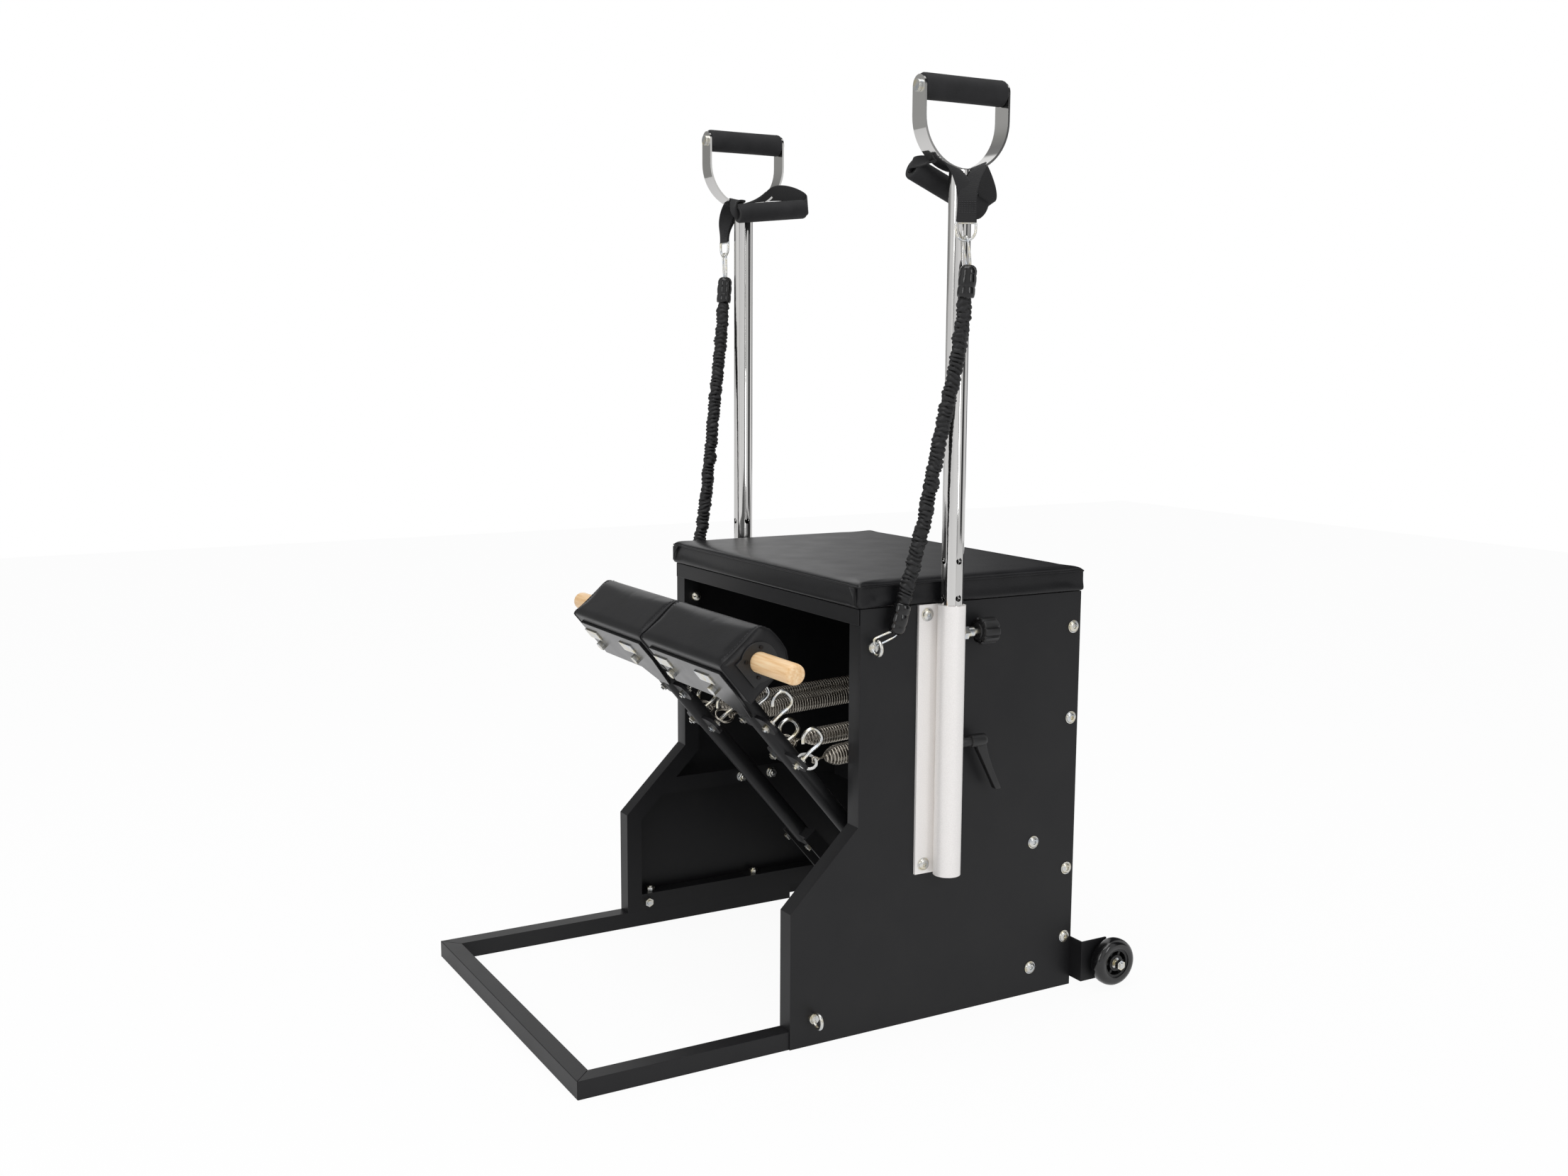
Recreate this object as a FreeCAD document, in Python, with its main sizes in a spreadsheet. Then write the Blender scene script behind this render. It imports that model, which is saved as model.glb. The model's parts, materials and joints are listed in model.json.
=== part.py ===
"""A pilates chair with two sprung foot pedals, two handle poles and two resistance cords.

Millimetres. X runs across the chair, -Y is the front, +Z is up. The floor is z = 0 and the origin lies
under the middle of the chair. A distance called a set is measured forwards from the panels' back face.
"""
import FreeCAD
import Part
import Sketcher
import math
import os
import re
from types import SimpleNamespace

Vector = FreeCAD.Vector
Placement = FreeCAD.Placement
Rotation = FreeCAD.Rotation

SIZES = {
    # Side panels, folded from sheet
    "panel_span": 555.0,
    "panel_foot_depth": 477.0,
    "panel_top_depth": 373.0,
    "panel_height": 588.5,
    "slant_foot": 188.0,
    "slant_rise": 104.0,
    "panel_fold": 27.0,
    "sheet_gauge": 2.0,
    "lip_width": 25.0,
    "foot_rail_height": 27.0,
    "mid_rail_height": 228.0,
    "mid_rail_width": 25.0,
    "window_corner": 8.0,
    # Base of square tube
    "base_reach": 780.0,
    "base_tube": 25.0,
    "tube_gauge": 2.0,
    "base_tail_set": 175.0,
    "base_bolt_inset": 46.0,
    "base_bolt_rear_set": 239.0,
    # Back panels, tray and cross rails
    "back_joint_height": 238.0,
    "back_joint_gap": 4.0,
    "apron_height": 22.0,
    "cross_rail_set": 75.0,
    "cross_rail_depth": 25.0,
    "cross_rail_height": 40.0,
    "cross_rail_end": 14.0,
    "low_rail_height": 39.5,
    # Seat
    "seat_overhang": 2.0,
    "seat_back_set": 3.0,
    "seat_thickness": 33.5,
    "board_thickness": 12.0,
    "board_inset": 16.0,
    "seat_corner": 14.0,
    "seat_draw": 3.0,
    # Fasteners
    "screw_dia": 8.0,
    "screw_head": 16.0,
    "screw_head_height": 4.0,
    "hole_slack": 0.4,
    "nut_flats": 13.0,
    "nut_height": 6.5,
    "thread_end": 2.0,
    "thread_slack": 0.1,
    "running_gap": 0.4,
    "back_screw_set": 13.0,
    "back_screw_top": 50.5,
    "back_screw_upper": 183.5,
    "back_screw_lower": 180.0,
    "back_screw_low": 76.0,
    # Eye bolts for the cords
    "eye_upper_inset": 19.0,
    "eye_upper_drop": 51.5,
    "eye_lower_inset": 36.0,
    "eye_ring_radius": 10.0,
    "eye_wire": 5.0,
    "eye_collar": 4.0,
    "eye_collar_dia": 15.0,
    # Pole sleeves
    "pole_set": 241.0,
    "sleeve_dia": 38.0,
    "sleeve_length": 375.0,
    "sleeve_stand": 1.5,
    "flange_reach": 41.5,
    "fin_reach": 22.0,
    "flange_gauge": 4.0,
    "flange_screw_reach": 28.0,
    "flange_screw_inset": 13.5,
    "lock_drop": 39.5,
    "lever_drop": 192.0,
    # Poles and handles
    "pole_dia": 30.0,
    "pole_gauge": 2.0,
    "pole_slack": 0.1,
    "pole_bottom": 390.0,
    "pole_top": 1155.0,
    "pole_hole": 9.0,
    "hole_pitch": 50.0,
    "yoke_radius": 67.0,
    "yoke_gauge": 3.0,
    "yoke_width": 28.0,
    "grip_rise": 103.0,
    "grip_dia": 33.5,
    "grip_slack": 0.3,
    # Pull knob and its bush
    "spot_depth": 1.5,
    "bush_flats": 17.0,
    "bush_hex": 8.0,
    "bush_neck_dia": 14.0,
    "bush_neck": 10.0,
    "knob_gap": 7.0,
    "knob_dia": 37.0,
    "knob_length": 37.0,
    "knob_flute": 6.0,
    "pin_dia": 8.0,
    "pin_slack": 0.1,
    "pin_clear": 0.4,
    # Clamp lever
    "lever_collar": 19.0,
    "lever_hub_dia": 18.0,
    "lever_hub": 25.0,
    "lever_drop_reach": 66.0,
    "lever_back_reach": 28.0,
    "lever_width": 10.0,
    "lever_tip": 9.0,
    # Transport wheels
    "wheel_dia": 70.0,
    "wheel_width": 24.0,
    "wheel_crown": 9.0,
    "core_dia": 44.0,
    "core_hole": 9.0,
    "bearing_dia": 22.0,
    "axle_dia": 8.0,
    "axle_slack": 0.1,
    "wheel_back": 47.0,
    "wheel_lift": 4.5,
    "bracket_gauge": 3.0,
    "bracket_reach": 22.5,
    "bracket_overlap": 22.0,
    "bracket_height": 60.0,
    "bracket_foot": 12.0,
    "wheel_gap": 2.0,
    # Pedal pivot and arms, heights along the arm counted from the pivot
    "pivot_set": 183.0,
    "pivot_height": 81.5,
    "shaft_dia": 16.0,
    "shaft_slack": 0.1,
    "lug_gauge": 6.0,
    "lug_boss": 36.0,
    "lug_gap": 0.5,
    "arm_lean": 40.0,
    "arm_inset": 51.0,
    "arm_dia": 25.0,
    "arm_gauge": 2.0,
    "arm_top": 508.0,
    "hub_dia": 28.0,
    "hub_length": 70.0,
    "bar_gauge": 6.0,
    "bar_width": 24.0,
    "end_bracket": 126.0,
    "end_block": 28.0,
    "end_block_depth": 16.0,
    "lower_bracket": 391.0,
    "upper_bracket": 464.0,
    "ear_gauge": 5.0,
    "ear_set": 4.0,
    "ear_width": 28.0,
    "hook_spread": 32.0,
    "hook_wire": 6.0,
    "hook_tail": 12.5,
    "hook_straight": 30.0,
    "hook_bend": 10.0,
    "hook_tip": 10.0,
    "hook_nut_flats": 10.0,
    "hook_nut": 5.0,
    # Pedal pads, plates and pegs
    "pad_start": 515.0,
    "pad_width": 73.0,
    "pad_height": 86.0,
    "pad_side": 80.0,
    "pad_corner": 13.0,
    "pad_gap": 1.5,
    "pad_split": 1.0,
    "pad_base": 8.0,
    "pad_draw": 3.0,
    "pad_end": 9.0,
    "plate_gauge": 4.0,
    "plate_inset": 17.0,
    "plate_low": 505.0,
    "plate_high": 572.0,
    "tongue_low": 482.0,
    "tongue_width": 32.0,
    "clamp_length": 42.0,
    "clamp_width": 17.0,
    "clamp_gauge": 2.0,
    "clamp_height": 550.0,
    "plate_bolt_height": 528.0,
    "peg_dia": 28.0,
    "peg_length": 100.0,
    "peg_round": 6.0,
    "peg_rise": 43.0,
    "peg_slack": 0.2,
    "rosette_dia": 54.0,
    "rosette_gauge": 4.0,
    "rosette_screw": 5.0,
    "rosette_screw_circle": 20.0,
    # Springs and their rear anchor
    "outer_spring_dia": 29.0,
    "inner_spring_dia": 26.0,
    "spring_wire": 3.2,
    "spring_turns": 25.0,
    "plug_slack": 0.3,
    "plug_length": 12.0,
    "plug_cone": 10.0,
    "ring_radius": 12.3,
    "ring_wire": 4.0,
    "ring_seat": 17.5,
    "ring_tilt": 35.0,
    "front_lead": 30.0,
    "rear_lead": 24.0,
    "rear_ring_radius": 6.5,
    "anchor_set": 38.0,
    "anchor_height": 412.0,
    "anchor_rod": 8.0,
    "anchor_bar_height": 30.0,
    "anchor_gauge": 6.0,
    "anchor_ear_spread": 56.0,
    # Cords, straps and their fittings
    "cord_dia": 19.0,
    "boot_dia": 23.0,
    "boot_length": 34.0,
    "snap_wire": 3.5,
    "snap_bend": 5.0,
    "snap_return": 12.0,
    "dee_radius": 13.0,
    "dee_wire": 3.5,
    "strap_gauge": 2.0,
    "strap_width": 26.0,
    "strap_gap": 0.3,
    "foam_dia": 30.0,
    "foam_length": 122.0,
    "foam_inset": 34.0,
}

# Cord routes from the lower boot to the upper boot, chosen by hand
RIGHT_ROUTE = [
    (294, 32, 595), (297, 45, 647), (301, 60, 709), (305, 69, 771),
    (311, 84, 853), (320, 96, 923), (324, 101, 994),
]
LEFT_ROUTE = [
    (-294, 20, 595), (-297, 33, 650), (-301, 43, 712), (-305, 52, 775),
    (-310, 62, 853), (-316, 75, 930), (-320, 83, 1005),
]
# Middle of each D-ring, then the foam grip's middle (y, z) and its tilt from level in degrees
RIGHT_DEE = (326, 98, 1079)
LEFT_DEE = (-324, 87, 1092)
RIGHT_FOAM = (112, 1137, -23.0)
LEFT_FOAM = (140, 1150, 6.0)

HOLES_EACH_WAY = 2
KNOB_FLUTES = 12
CORE_HOLES = 6
STRAP_START = math.radians(15)
STRAP_END = math.radians(39)
FOAM_LAP = math.radians(42)

doc = FreeCAD.newDocument("pilates_chair")
sheet = doc.addObject("Spreadsheet::Sheet", "Sizes")
for row, (alias, value) in enumerate(SIZES.items(), 1):
    sheet.set(f"A{row}", alias.replace("_", " "))
    sheet.set(f"B{row}", str(value))
    sheet.setAlias(f"B{row}", alias)
doc.recompute()
s = SimpleNamespace(**{alias: float(sheet.get(alias)) for alias in SIZES})
nodes = {}


# Places worked out from the sizes
half = s.panel_span / 2
inner = half - s.panel_fold
back = (s.base_reach - s.wheel_back - s.wheel_dia / 2) / 2
pole_x = half + s.sleeve_stand + s.sleeve_dia / 2
foam_side = pole_x - s.foam_inset
# The pads fill the width between the panels, and each arm stands at the same place under its pad
pad_outer = inner - s.pad_gap
pedal_pitch = pad_outer + s.pad_split
arm_offset = pad_outer - s.arm_inset
PITCH = "(panel_span / 2 - panel_fold - pad_gap + pad_split)"
ARM = "(panel_span / 2 - panel_fold - pad_gap - arm_inset)"
# The upper screws and eyes keep their distance from the panel's top edge
screw_top = s.panel_height - s.back_screw_top
screw_upper = s.panel_height - s.back_screw_upper
eye_upper_height = s.panel_height - s.eye_upper_drop
pole_y = back - s.pole_set
sleeve_low = s.panel_height - s.sleeve_length
lock_z = s.panel_height - s.lock_drop
lever_z = s.panel_height - s.lever_drop
grip_z = s.pole_top + s.grip_rise
yoke_z = s.pole_top + s.yoke_radius
rail_top = s.base_tube + s.foot_rail_height
pivot = Vector(0, back - s.pivot_set, s.pivot_height)
pedal_place = Placement(pivot, Rotation(Vector(1, 0, 0), s.arm_lean))
wheel_y = back + s.wheel_back
wheel_z = s.wheel_lift + s.wheel_dia / 2
bracket_x = half + s.bracket_reach
wheel_x = bracket_x + s.bracket_gauge + s.wheel_gap
eye_lower_height = s.base_tube + s.foot_rail_height / 2
eye_upper_set = s.panel_top_depth - s.eye_upper_inset
eye_lower_set = s.panel_foot_depth - s.eye_lower_inset
base_bolt_front_set = s.panel_foot_depth - s.base_bolt_inset
seat_width = s.panel_span + 2 * s.seat_overhang
seat_depth = s.panel_top_depth - s.seat_back_set

ALONG = {
    "x": Rotation(Vector(0, 1, 0), 90),
    "y": Rotation(Vector(1, 0, 0), -90),
    "z": Rotation(),
}
# Sketch frames: SIDE draws (forwards, up) and grows towards -X, FACE draws (x, along the arm) and grows forwards
SIDE = Rotation(Vector(0, -1, 0), Vector(0, 0, 1), Vector(-1, 0, 0), "XYZ")
FACE = Rotation(Vector(1, 0, 0), Vector(0, 0, 1), Vector(0, -1, 0), "XYZ")


def sized(text):
    """An expression in the sheet's names."""
    return re.sub(r"[a-z_]+", lambda word: "Sizes." + word[0] if word[0] in SIZES else word[0], text)


def bind(item, **fields):
    for field, text in fields.items():
        item.setExpression(field, sized(text))
    return item


def node(name, item):
    item.Label = name
    nodes[name] = item
    return item


def box(length, width, height, at):
    item = bind(doc.addObject("Part::Box", "box"), Length=length, Width=width, Height=height)
    item.Placement = Placement(Vector(*at), Rotation())
    return item


def rod(dia, length, at, axis="z"):
    item = bind(doc.addObject("Part::Cylinder", "rod"), Radius=f"({dia}) / 2", Height=length)
    item.Placement = Placement(Vector(*at), ALONG[axis])
    return item


def hexagon(flats, height, at, axis="z"):
    item = doc.addObject("Part::Prism", "hexagon")
    item.Polygon = 6
    bind(item, Circumradius=f"({flats}) / 3 ^ 0.5", Height=height)
    item.Placement = Placement(Vector(*at), ALONG[axis])
    return item


def ring(radius, wire, at, axis="z"):
    item = bind(doc.addObject("Part::Torus", "ring"), Radius1=radius, Radius2=f"({wire}) / 2")
    item.Placement = Placement(Vector(*at), ALONG[axis])
    return item


def joined(*items):
    item = doc.addObject("Part::MultiFuse", "joined")
    item.Shapes = list(items)
    return item


def less(base, *tools):
    item = doc.addObject("Part::Cut", "less")
    item.Base = base
    item.Tool = tools[0] if len(tools) == 1 else joined(*tools)
    return item


def group(*items):
    item = doc.addObject("Part::Compound", "group")
    item.Links = list(items)
    return item


def mirrored(item):
    twin = doc.addObject("Part::Mirroring", "mirrored")
    twin.Source = item
    twin.Normal = Vector(1, 0, 0)
    return twin


def both_sides(item):
    return group(item, mirrored(item))


def shaped(shape, place=None):
    item = doc.addObject("Part::Feature", "shaped")
    item.Shape = shape
    item.Placement = place or Placement()
    return item


def sketch_on(body, outlines, start="0"):
    """A sketch on the body's XY plane, raised by start, whose corners are bound to the sheet."""
    plane = next(part for part in body.Origin.OriginFeatures if part.Role == "XY_Plane")
    sketch = body.newObject("Sketcher::SketchObject", "outline")
    sketch.AttachmentSupport = [(plane, "")]
    sketch.MapMode = "FlatFace"
    bind(sketch, **{"AttachmentOffset.Base.z": start})
    for outline in outlines:
        first = sketch.GeometryCount
        spots = [Vector(*(sheet.evalExpression(sized(text)) for text in corner)) for corner in outline]
        for here, there in zip(spots, spots[1:] + spots[:1]):
            sketch.addGeometry(Part.LineSegment(here, there), False)
        for index, (corner, spot) in enumerate(zip(outline, spots)):
            line, after = first + index, first + (index + 1) % len(outline)
            sketch.addConstraint(Sketcher.Constraint("Coincident", line, 2, after, 1))
            for kind, text, value in (("DistanceX", corner[0], spot.x), ("DistanceY", corner[1], spot.y)):
                fixed = sketch.addConstraint(Sketcher.Constraint(kind, -1, 1, line, 1, value))
                sketch.setExpression(f"Constraints[{fixed}]", sized(text))
    return sketch


def pad_on(body, outlines, length, start="0"):
    sketch = sketch_on(body, outlines, start)
    pad = body.newObject("PartDesign::Pad", "pad")
    pad.Profile = sketch
    bind(pad, Length=length)
    return pad


def new_body(at, turn):
    body = doc.addObject("PartDesign::Body", "body")
    body.Placement = Placement(Vector(*at), turn)
    return body


def prism(outlines, length, at=(0, 0, 0), turn=Rotation(), start="0"):
    body = new_body(at, turn)
    pad_on(body, outlines, length, start)
    return body


def turned(outline, at, axis):
    """A body revolved about its own Y axis, which is laid along the named axis."""
    body = new_body(at, ALONG[axis] * Rotation(Vector(1, 0, 0), 90))
    sketch = sketch_on(body, [outline])
    turn = body.newObject("PartDesign::Revolution", "turn")
    turn.Profile = sketch
    turn.ReferenceAxis = (sketch, ["V_Axis"])
    turn.Angle = 360
    return body


# Swept wires: straight runs, tangent arcs and helices
def arc_from(start, along, end):
    """The arc that leaves start along a direction and ends at end."""
    chord = end - start
    unit = chord * (1 / chord.Length)
    across = along - unit * along.dot(unit)
    across.normalize()
    bend = math.acos(max(-1.0, min(1.0, along.dot(unit))))
    middle = start + chord * 0.5 + across * (chord.Length / 2 * math.tan(bend / 2))
    return Part.Arc(start, middle, end).toShape()


def line(start, end):
    return Part.LineSegment(start, end).toShape()


def swept(edges, dia):
    first = edges[0]
    start = first.valueAt(first.FirstParameter)
    along = first.tangentAt(first.FirstParameter)
    section = Part.Wire(Part.makeCircle(dia / 2, start, along))
    return Part.Wire(edges).makePipeShell([section], True, False)


def j_hook(start, along, across, straight, bend, tip):
    """A straight shank, a half circle and a short return."""
    turn = start + along * straight
    far = turn + across * (2 * bend)
    top = turn + across * bend + along * bend
    return [line(start, turn), Part.Arc(turn, top, far).toShape(), line(far, far - along * tip)]


def tangent_route(points):
    """Straight runs joined by arcs as large as the runs allow."""
    edges, at, radii = [], points[0], []
    for before, corner, after in zip(points, points[1:], points[2:]):
        come, go = (corner - before), (after - corner)
        trim = 0.45 * min(come.Length, go.Length)
        come.normalize()
        go.normalize()
        radii.append(trim / math.tan(math.acos(come.dot(go)) / 2))
        begin, end = corner - come * trim, corner + go * trim
        edges += [line(at, begin), arc_from(begin, come, end)]
        at = end
    print("cord radii", [round(radius) for radius in radii])
    return edges + [line(at, points[-1])]


def biarc(start, along, end, ahead):
    """Two tangent arcs between two points with given directions."""
    gap, total = end - start, along + ahead
    square = total.dot(total) - 4
    reach = gap.dot(total)
    length = (reach - math.sqrt(reach * reach - square * gap.dot(gap))) / square
    joint = (start + along * length + end - ahead * length) * 0.5
    joint_way = end - ahead * length - start - along * length
    joint_way.normalize()
    return [arc_from(start, along, joint), arc_from(joint, joint_way, end)]


def coil(radius, low, high, turns, wire):
    """A helix about Z in half turns, with a straight end of one wire diameter at each end."""
    steps = int(round(turns * 2))
    climb = (high - low) / steps
    points, ways = [], []
    for step in range(steps + 1):
        side = 1 if step % 2 == 0 else -1
        points.append(Vector(radius * side, 0, low + climb * step))
        way = Vector(0, math.pi * radius * side, climb)
        way.normalize()
        ways.append(way)
    edges = [line(points[0] - ways[0] * wire, points[0])]
    for index in range(steps):
        edges += biarc(points[index], ways[index], points[index + 1], ways[index + 1])
    edges.append(line(points[-1], points[-1] + ways[-1] * wire))
    marks = [edge.valueAt(edge.FirstParameter) for edge in edges]
    apart = 6
    gap = min((a - b).Length for i, a in enumerate(marks) for b in marks[i + apart // 2:i + apart]) - wire
    print("least gap in the coil", round(gap, 2))
    return swept(edges, wire)


def lofted(wires):
    return Part.makeLoft(wires, True, True)


def loop(points):
    return Part.makePolygon(points + points[:1])


# Chassis
SLANT_RUN = "panel_foot_depth - panel_top_depth"
SLANT_LENGTH = f"sqrt(({SLANT_RUN}) ^ 2 + slant_rise ^ 2)"


def slant_at(gap, height):
    """How far forwards the panel's slanted edge, drawn in by a gap, reaches at a height."""
    return f"panel_foot_depth - (({gap}) * {SLANT_LENGTH} + ({SLANT_RUN}) * ({height} - slant_foot)) / slant_rise"


def inset_edge(gap, low, high):
    """The panel's outline drawn in by a gap, between two heights."""
    nip = f"({gap}) * ({SLANT_LENGTH} - slant_rise) / ({SLANT_RUN})"
    slant_top = "slant_foot + slant_rise"
    return [
        (gap, low), (f"panel_foot_depth - ({gap})", low),
        (f"panel_foot_depth - ({gap})", f"slant_foot - {nip}"),
        (f"panel_top_depth - ({gap})", f"{slant_top} - {nip}"),
        (f"panel_top_depth - ({gap})", high), (gap, high),
    ]


def side_panel():
    """A pan: skin to the floor, flanges and a box rail above the base tube, inner lips with two windows."""
    gap, high = "sheet_gauge", "panel_height - sheet_gauge"
    rail = "base_tube + foot_rail_height"
    mid_low, mid_high = "mid_rail_height - mid_rail_width / 2", "mid_rail_height + mid_rail_width / 2"
    window = inset_edge("lip_width", rail, "panel_height - lip_width")
    lower = window[:3] + [
        (slant_at("lip_width", mid_low), mid_low), ("lip_width + window_corner", mid_low),
        ("lip_width", f"{mid_low} - window_corner"),
    ]
    upper = [
        ("lip_width", f"{mid_high} + window_corner"), ("lip_width + window_corner", mid_high),
        (slant_at("lip_width", mid_high), mid_high),
    ] + window[3:]
    rail_void = [
        (gap, f"base_tube + {gap}"), (f"panel_foot_depth - {gap}", f"base_tube + {gap}"),
        (f"panel_foot_depth - {gap}", f"{rail} - {gap}"), (gap, f"{rail} - {gap}"),
    ]
    body = new_body((half, back, 0), SIDE)
    pad_on(body, [inset_edge("0", "0", "panel_height")], "sheet_gauge")
    edge = inset_edge("0", "base_tube", "panel_height")
    pad_on(body, [edge, rail_void, inset_edge(gap, rail, high)], "panel_fold")
    pad_on(body, [edge, lower, upper], "sheet_gauge", "panel_fold - sheet_gauge")
    hole, depth = "screw_dia + hole_slack", "panel_fold + 2 * sheet_gauge"
    across = [
        rod(hole, depth, (inner - s.sheet_gauge, back - put, high_up), "x")
        for put, high_up in through_bolts() + rail_screws()
    ]
    skin = [rod(hole, "panel_fold / 2", (half - s.panel_fold / 4, y, z), "x") for y, z in flange_screws()]
    upright = [
        rod(hole, "foot_rail_height + 2 * sheet_gauge", (x, y, s.base_tube - s.sheet_gauge))
        for x, y in base_bolts()
    ]
    return less(body, *across, *skin, *upright)


def through_bolts():
    """(set, height) of what passes through the whole panel and has a nut inside."""
    heights = (screw_top, screw_upper, s.back_screw_lower, s.back_screw_low)
    screws = [(s.back_screw_set, height) for height in heights]
    return screws + [(eye_upper_set, eye_upper_height), (eye_lower_set, eye_lower_height)]


def rail_screws():
    return [(s.cross_rail_set, s.mid_rail_height), (s.cross_rail_set, s.low_rail_height)]


def flange_screws():
    y = pole_y - s.flange_screw_reach
    return [(y, s.panel_height - s.flange_screw_inset), (y, sleeve_low + s.flange_screw_inset)]


def base_bolts():
    x = half - s.panel_fold / 2
    return [(x, back - base_bolt_front_set), (x, back - s.base_bolt_rear_set)]


def back_panel(low, high, screws):
    """A web between the side panels with a flange along each side."""
    tall = f"({high}) - ({low})"
    z = float(sheet.evalExpression(sized(low)))
    web = box("panel_span - 2 * panel_fold", "sheet_gauge", tall, (-inner, back - s.sheet_gauge, z))
    side = "lip_width"
    right = box("sheet_gauge", side, tall, (inner - s.sheet_gauge, back - s.lip_width, z))
    left = box("sheet_gauge", side, tall, (-inner, back - s.lip_width, z))
    y = back - s.back_screw_set
    holes = [rod("screw_dia + hole_slack", "panel_span", (-half, y, height), "x") for height in screws]
    return less(joined(web, right, left), *holes)


def seat_tray():
    """A plate between the side panels, with an apron across their front flanges."""
    face = back - s.panel_top_depth - s.sheet_gauge
    plate = box("panel_span - 2 * panel_fold", "panel_top_depth + sheet_gauge", "sheet_gauge",
                (-inner, face, s.panel_height - s.sheet_gauge))
    apron = box("panel_span - 2 * sheet_gauge", "sheet_gauge", "apron_height",
                (s.sheet_gauge - half, face, s.panel_height - s.apron_height))
    return joined(plate, apron)


def cross_rail(height, lugs=()):
    """A box rail with solid ends that take the panels' screws."""
    low = height - s.cross_rail_height / 2
    y = back - s.cross_rail_set - s.cross_rail_depth / 2
    wall = s.tube_gauge
    bar = box("panel_span - 2 * panel_fold", "cross_rail_depth", "cross_rail_height", (-inner, y, low))
    void = box("panel_span - 2 * panel_fold - 2 * cross_rail_end", "cross_rail_depth - 2 * tube_gauge",
               "cross_rail_height - 2 * tube_gauge", (-inner + s.cross_rail_end, y + wall, low + wall))
    hollow = less(bar, void)
    hole = rod("screw_dia + hole_slack", "panel_span", (-half, back - s.cross_rail_set, height), "x")
    return less(joined(hollow, *lugs) if lugs else hollow, hole)


def arm_places():
    return {"right": arm_offset, "left": arm_offset - pedal_pitch}


def pivot_lug(x):
    """A plate that reaches forwards from the lower cross rail to the pivot shaft."""
    root = "cross_rail_set + cross_rail_depth / 2"
    low, high = "low_rail_height - cross_rail_height / 2", "low_rail_height + cross_rail_height / 2"
    arm = prism([[
        (root, low), ("pivot_set", "pivot_height - lug_boss / 2"), ("pivot_set", "pivot_height + lug_boss / 2"),
        (root, high),
    ]], "lug_gauge", (x + s.lug_gauge, back, 0), SIDE)
    boss = rod("lug_boss", "lug_gauge", (x, pivot.y, pivot.z), "x")
    bore = rod("shaft_dia + shaft_slack", "3 * lug_gauge", (x - s.lug_gauge, pivot.y, pivot.z), "x")
    return less(joined(arm, boss), bore)


def pivot_lugs():
    reach = s.hub_length / 2 + s.lug_gap
    return [
        pivot_lug(x) for arm in arm_places().values() for x in (arm - reach - s.lug_gauge, arm + reach)
    ]


def pivot_shaft():
    places = arm_places()
    end = s.hub_length / 2 + s.lug_gap + s.lug_gauge
    start = places["left"] - end
    return rod("shaft_dia", PITCH + " + hub_length + 2 * lug_gap + 2 * lug_gauge", (start, pivot.y, pivot.z), "x")


def spring_anchor():
    """A bar on the upper back panel with ears that hold a rod for the springs' rear rings."""
    bar_y = back - s.sheet_gauge - s.anchor_gauge
    bar = box("panel_span - 2 * panel_fold - 2 * lip_width", "anchor_gauge", "anchor_bar_height",
              (-inner + s.lip_width, bar_y, s.anchor_height - s.anchor_bar_height / 2))
    places = arm_places()
    ears = []
    for arm in places.values():
        for x in (arm - s.anchor_ear_spread, arm):
            ears.append(box("anchor_gauge", "anchor_set - sheet_gauge - anchor_gauge", "anchor_bar_height / 2",
                            (x - s.anchor_gauge / 2, back - s.anchor_set, s.anchor_height - s.anchor_bar_height / 4)))
    start = places["left"] - s.anchor_ear_spread
    pin = rod("anchor_rod", PITCH + " + anchor_ear_spread + hook_spread + outer_spring_dia / 2",
              (start, back - s.anchor_set, s.anchor_height), "x")
    return joined(bar, pin, *ears)


def base_tubes():
    """Mitred square tubes that run under the panels' foot rails."""
    side, wall = "panel_span / 2 - sheet_gauge", "tube_gauge"
    tail, front = "-base_tail_set", "-base_reach"

    def side_line(gap):
        far = f"base_tube - {gap}"
        return [(f"{side} - {gap}", tail), (f"{side} - ({far})", tail),
                (f"{side} - ({far})", f"{front} + {far}"), (f"{side} - {gap}", f"{front} + {gap}")]

    def front_line(gap):
        far = f"base_tube - {gap}"
        return [(f"-({side} - {gap})", f"{front} + {gap}"), (f"{side} - {gap}", f"{front} + {gap}"),
                (f"{side} - ({far})", f"{front} + {far}"), (f"-({side} - ({far}))", f"{front} + {far}")]

    def tube(outline):
        outer = prism([outline("0")], "base_tube", (0, back, 0))
        void = prism([outline(wall)], f"base_tube - 2 * {wall}", (0, back, 0), Rotation(), wall)
        return less(outer, void)

    z = s.base_tube - 2 * s.tube_gauge
    holes = [rod("screw_dia + hole_slack", "3 * tube_gauge", (x, y, z)) for x, y in base_bolts()]
    return less(tube(side_line), *holes), tube(front_line)


def base_bolt_set():
    """Bolts from inside the base tube up through the foot rail, each with a nut on top."""
    pieces = []
    for x, y in base_bolts():
        head_z = s.base_tube - s.tube_gauge - s.nut_height
        head = hexagon("nut_flats", "nut_height", (x, y, head_z))
        length = "2 * nut_height + tube_gauge + foot_rail_height + thread_end"
        shank = rod("screw_dia", length, (x, y, head_z))
        nut = less(hexagon("nut_flats", "nut_height", (x, y, rail_top)),
                   rod("screw_dia + thread_slack", "3 * nut_height", (x, y, rail_top - s.nut_height)))
        pieces += [joined(head, shank), nut]
    return group(*pieces)


def button_screw(face_x, y, z, grip):
    """A button-head screw along -X from the face that its head sits on."""
    head = rod("screw_head", "screw_head_height", (face_x, y, z), "x")
    length = sheet.evalExpression(sized(grip))
    return joined(head, rod("screw_dia", grip, (face_x - length, y, z), "x"))


def inside_nut(face_x, y, z):
    """A hexagon nut whose outer face lies on face_x."""
    start = face_x - s.nut_height
    return less(hexagon("nut_flats", "nut_height", (start, y, z), "x"),
                rod("screw_dia + thread_slack", "3 * nut_height", (start - s.nut_height, y, z), "x"))


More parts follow.
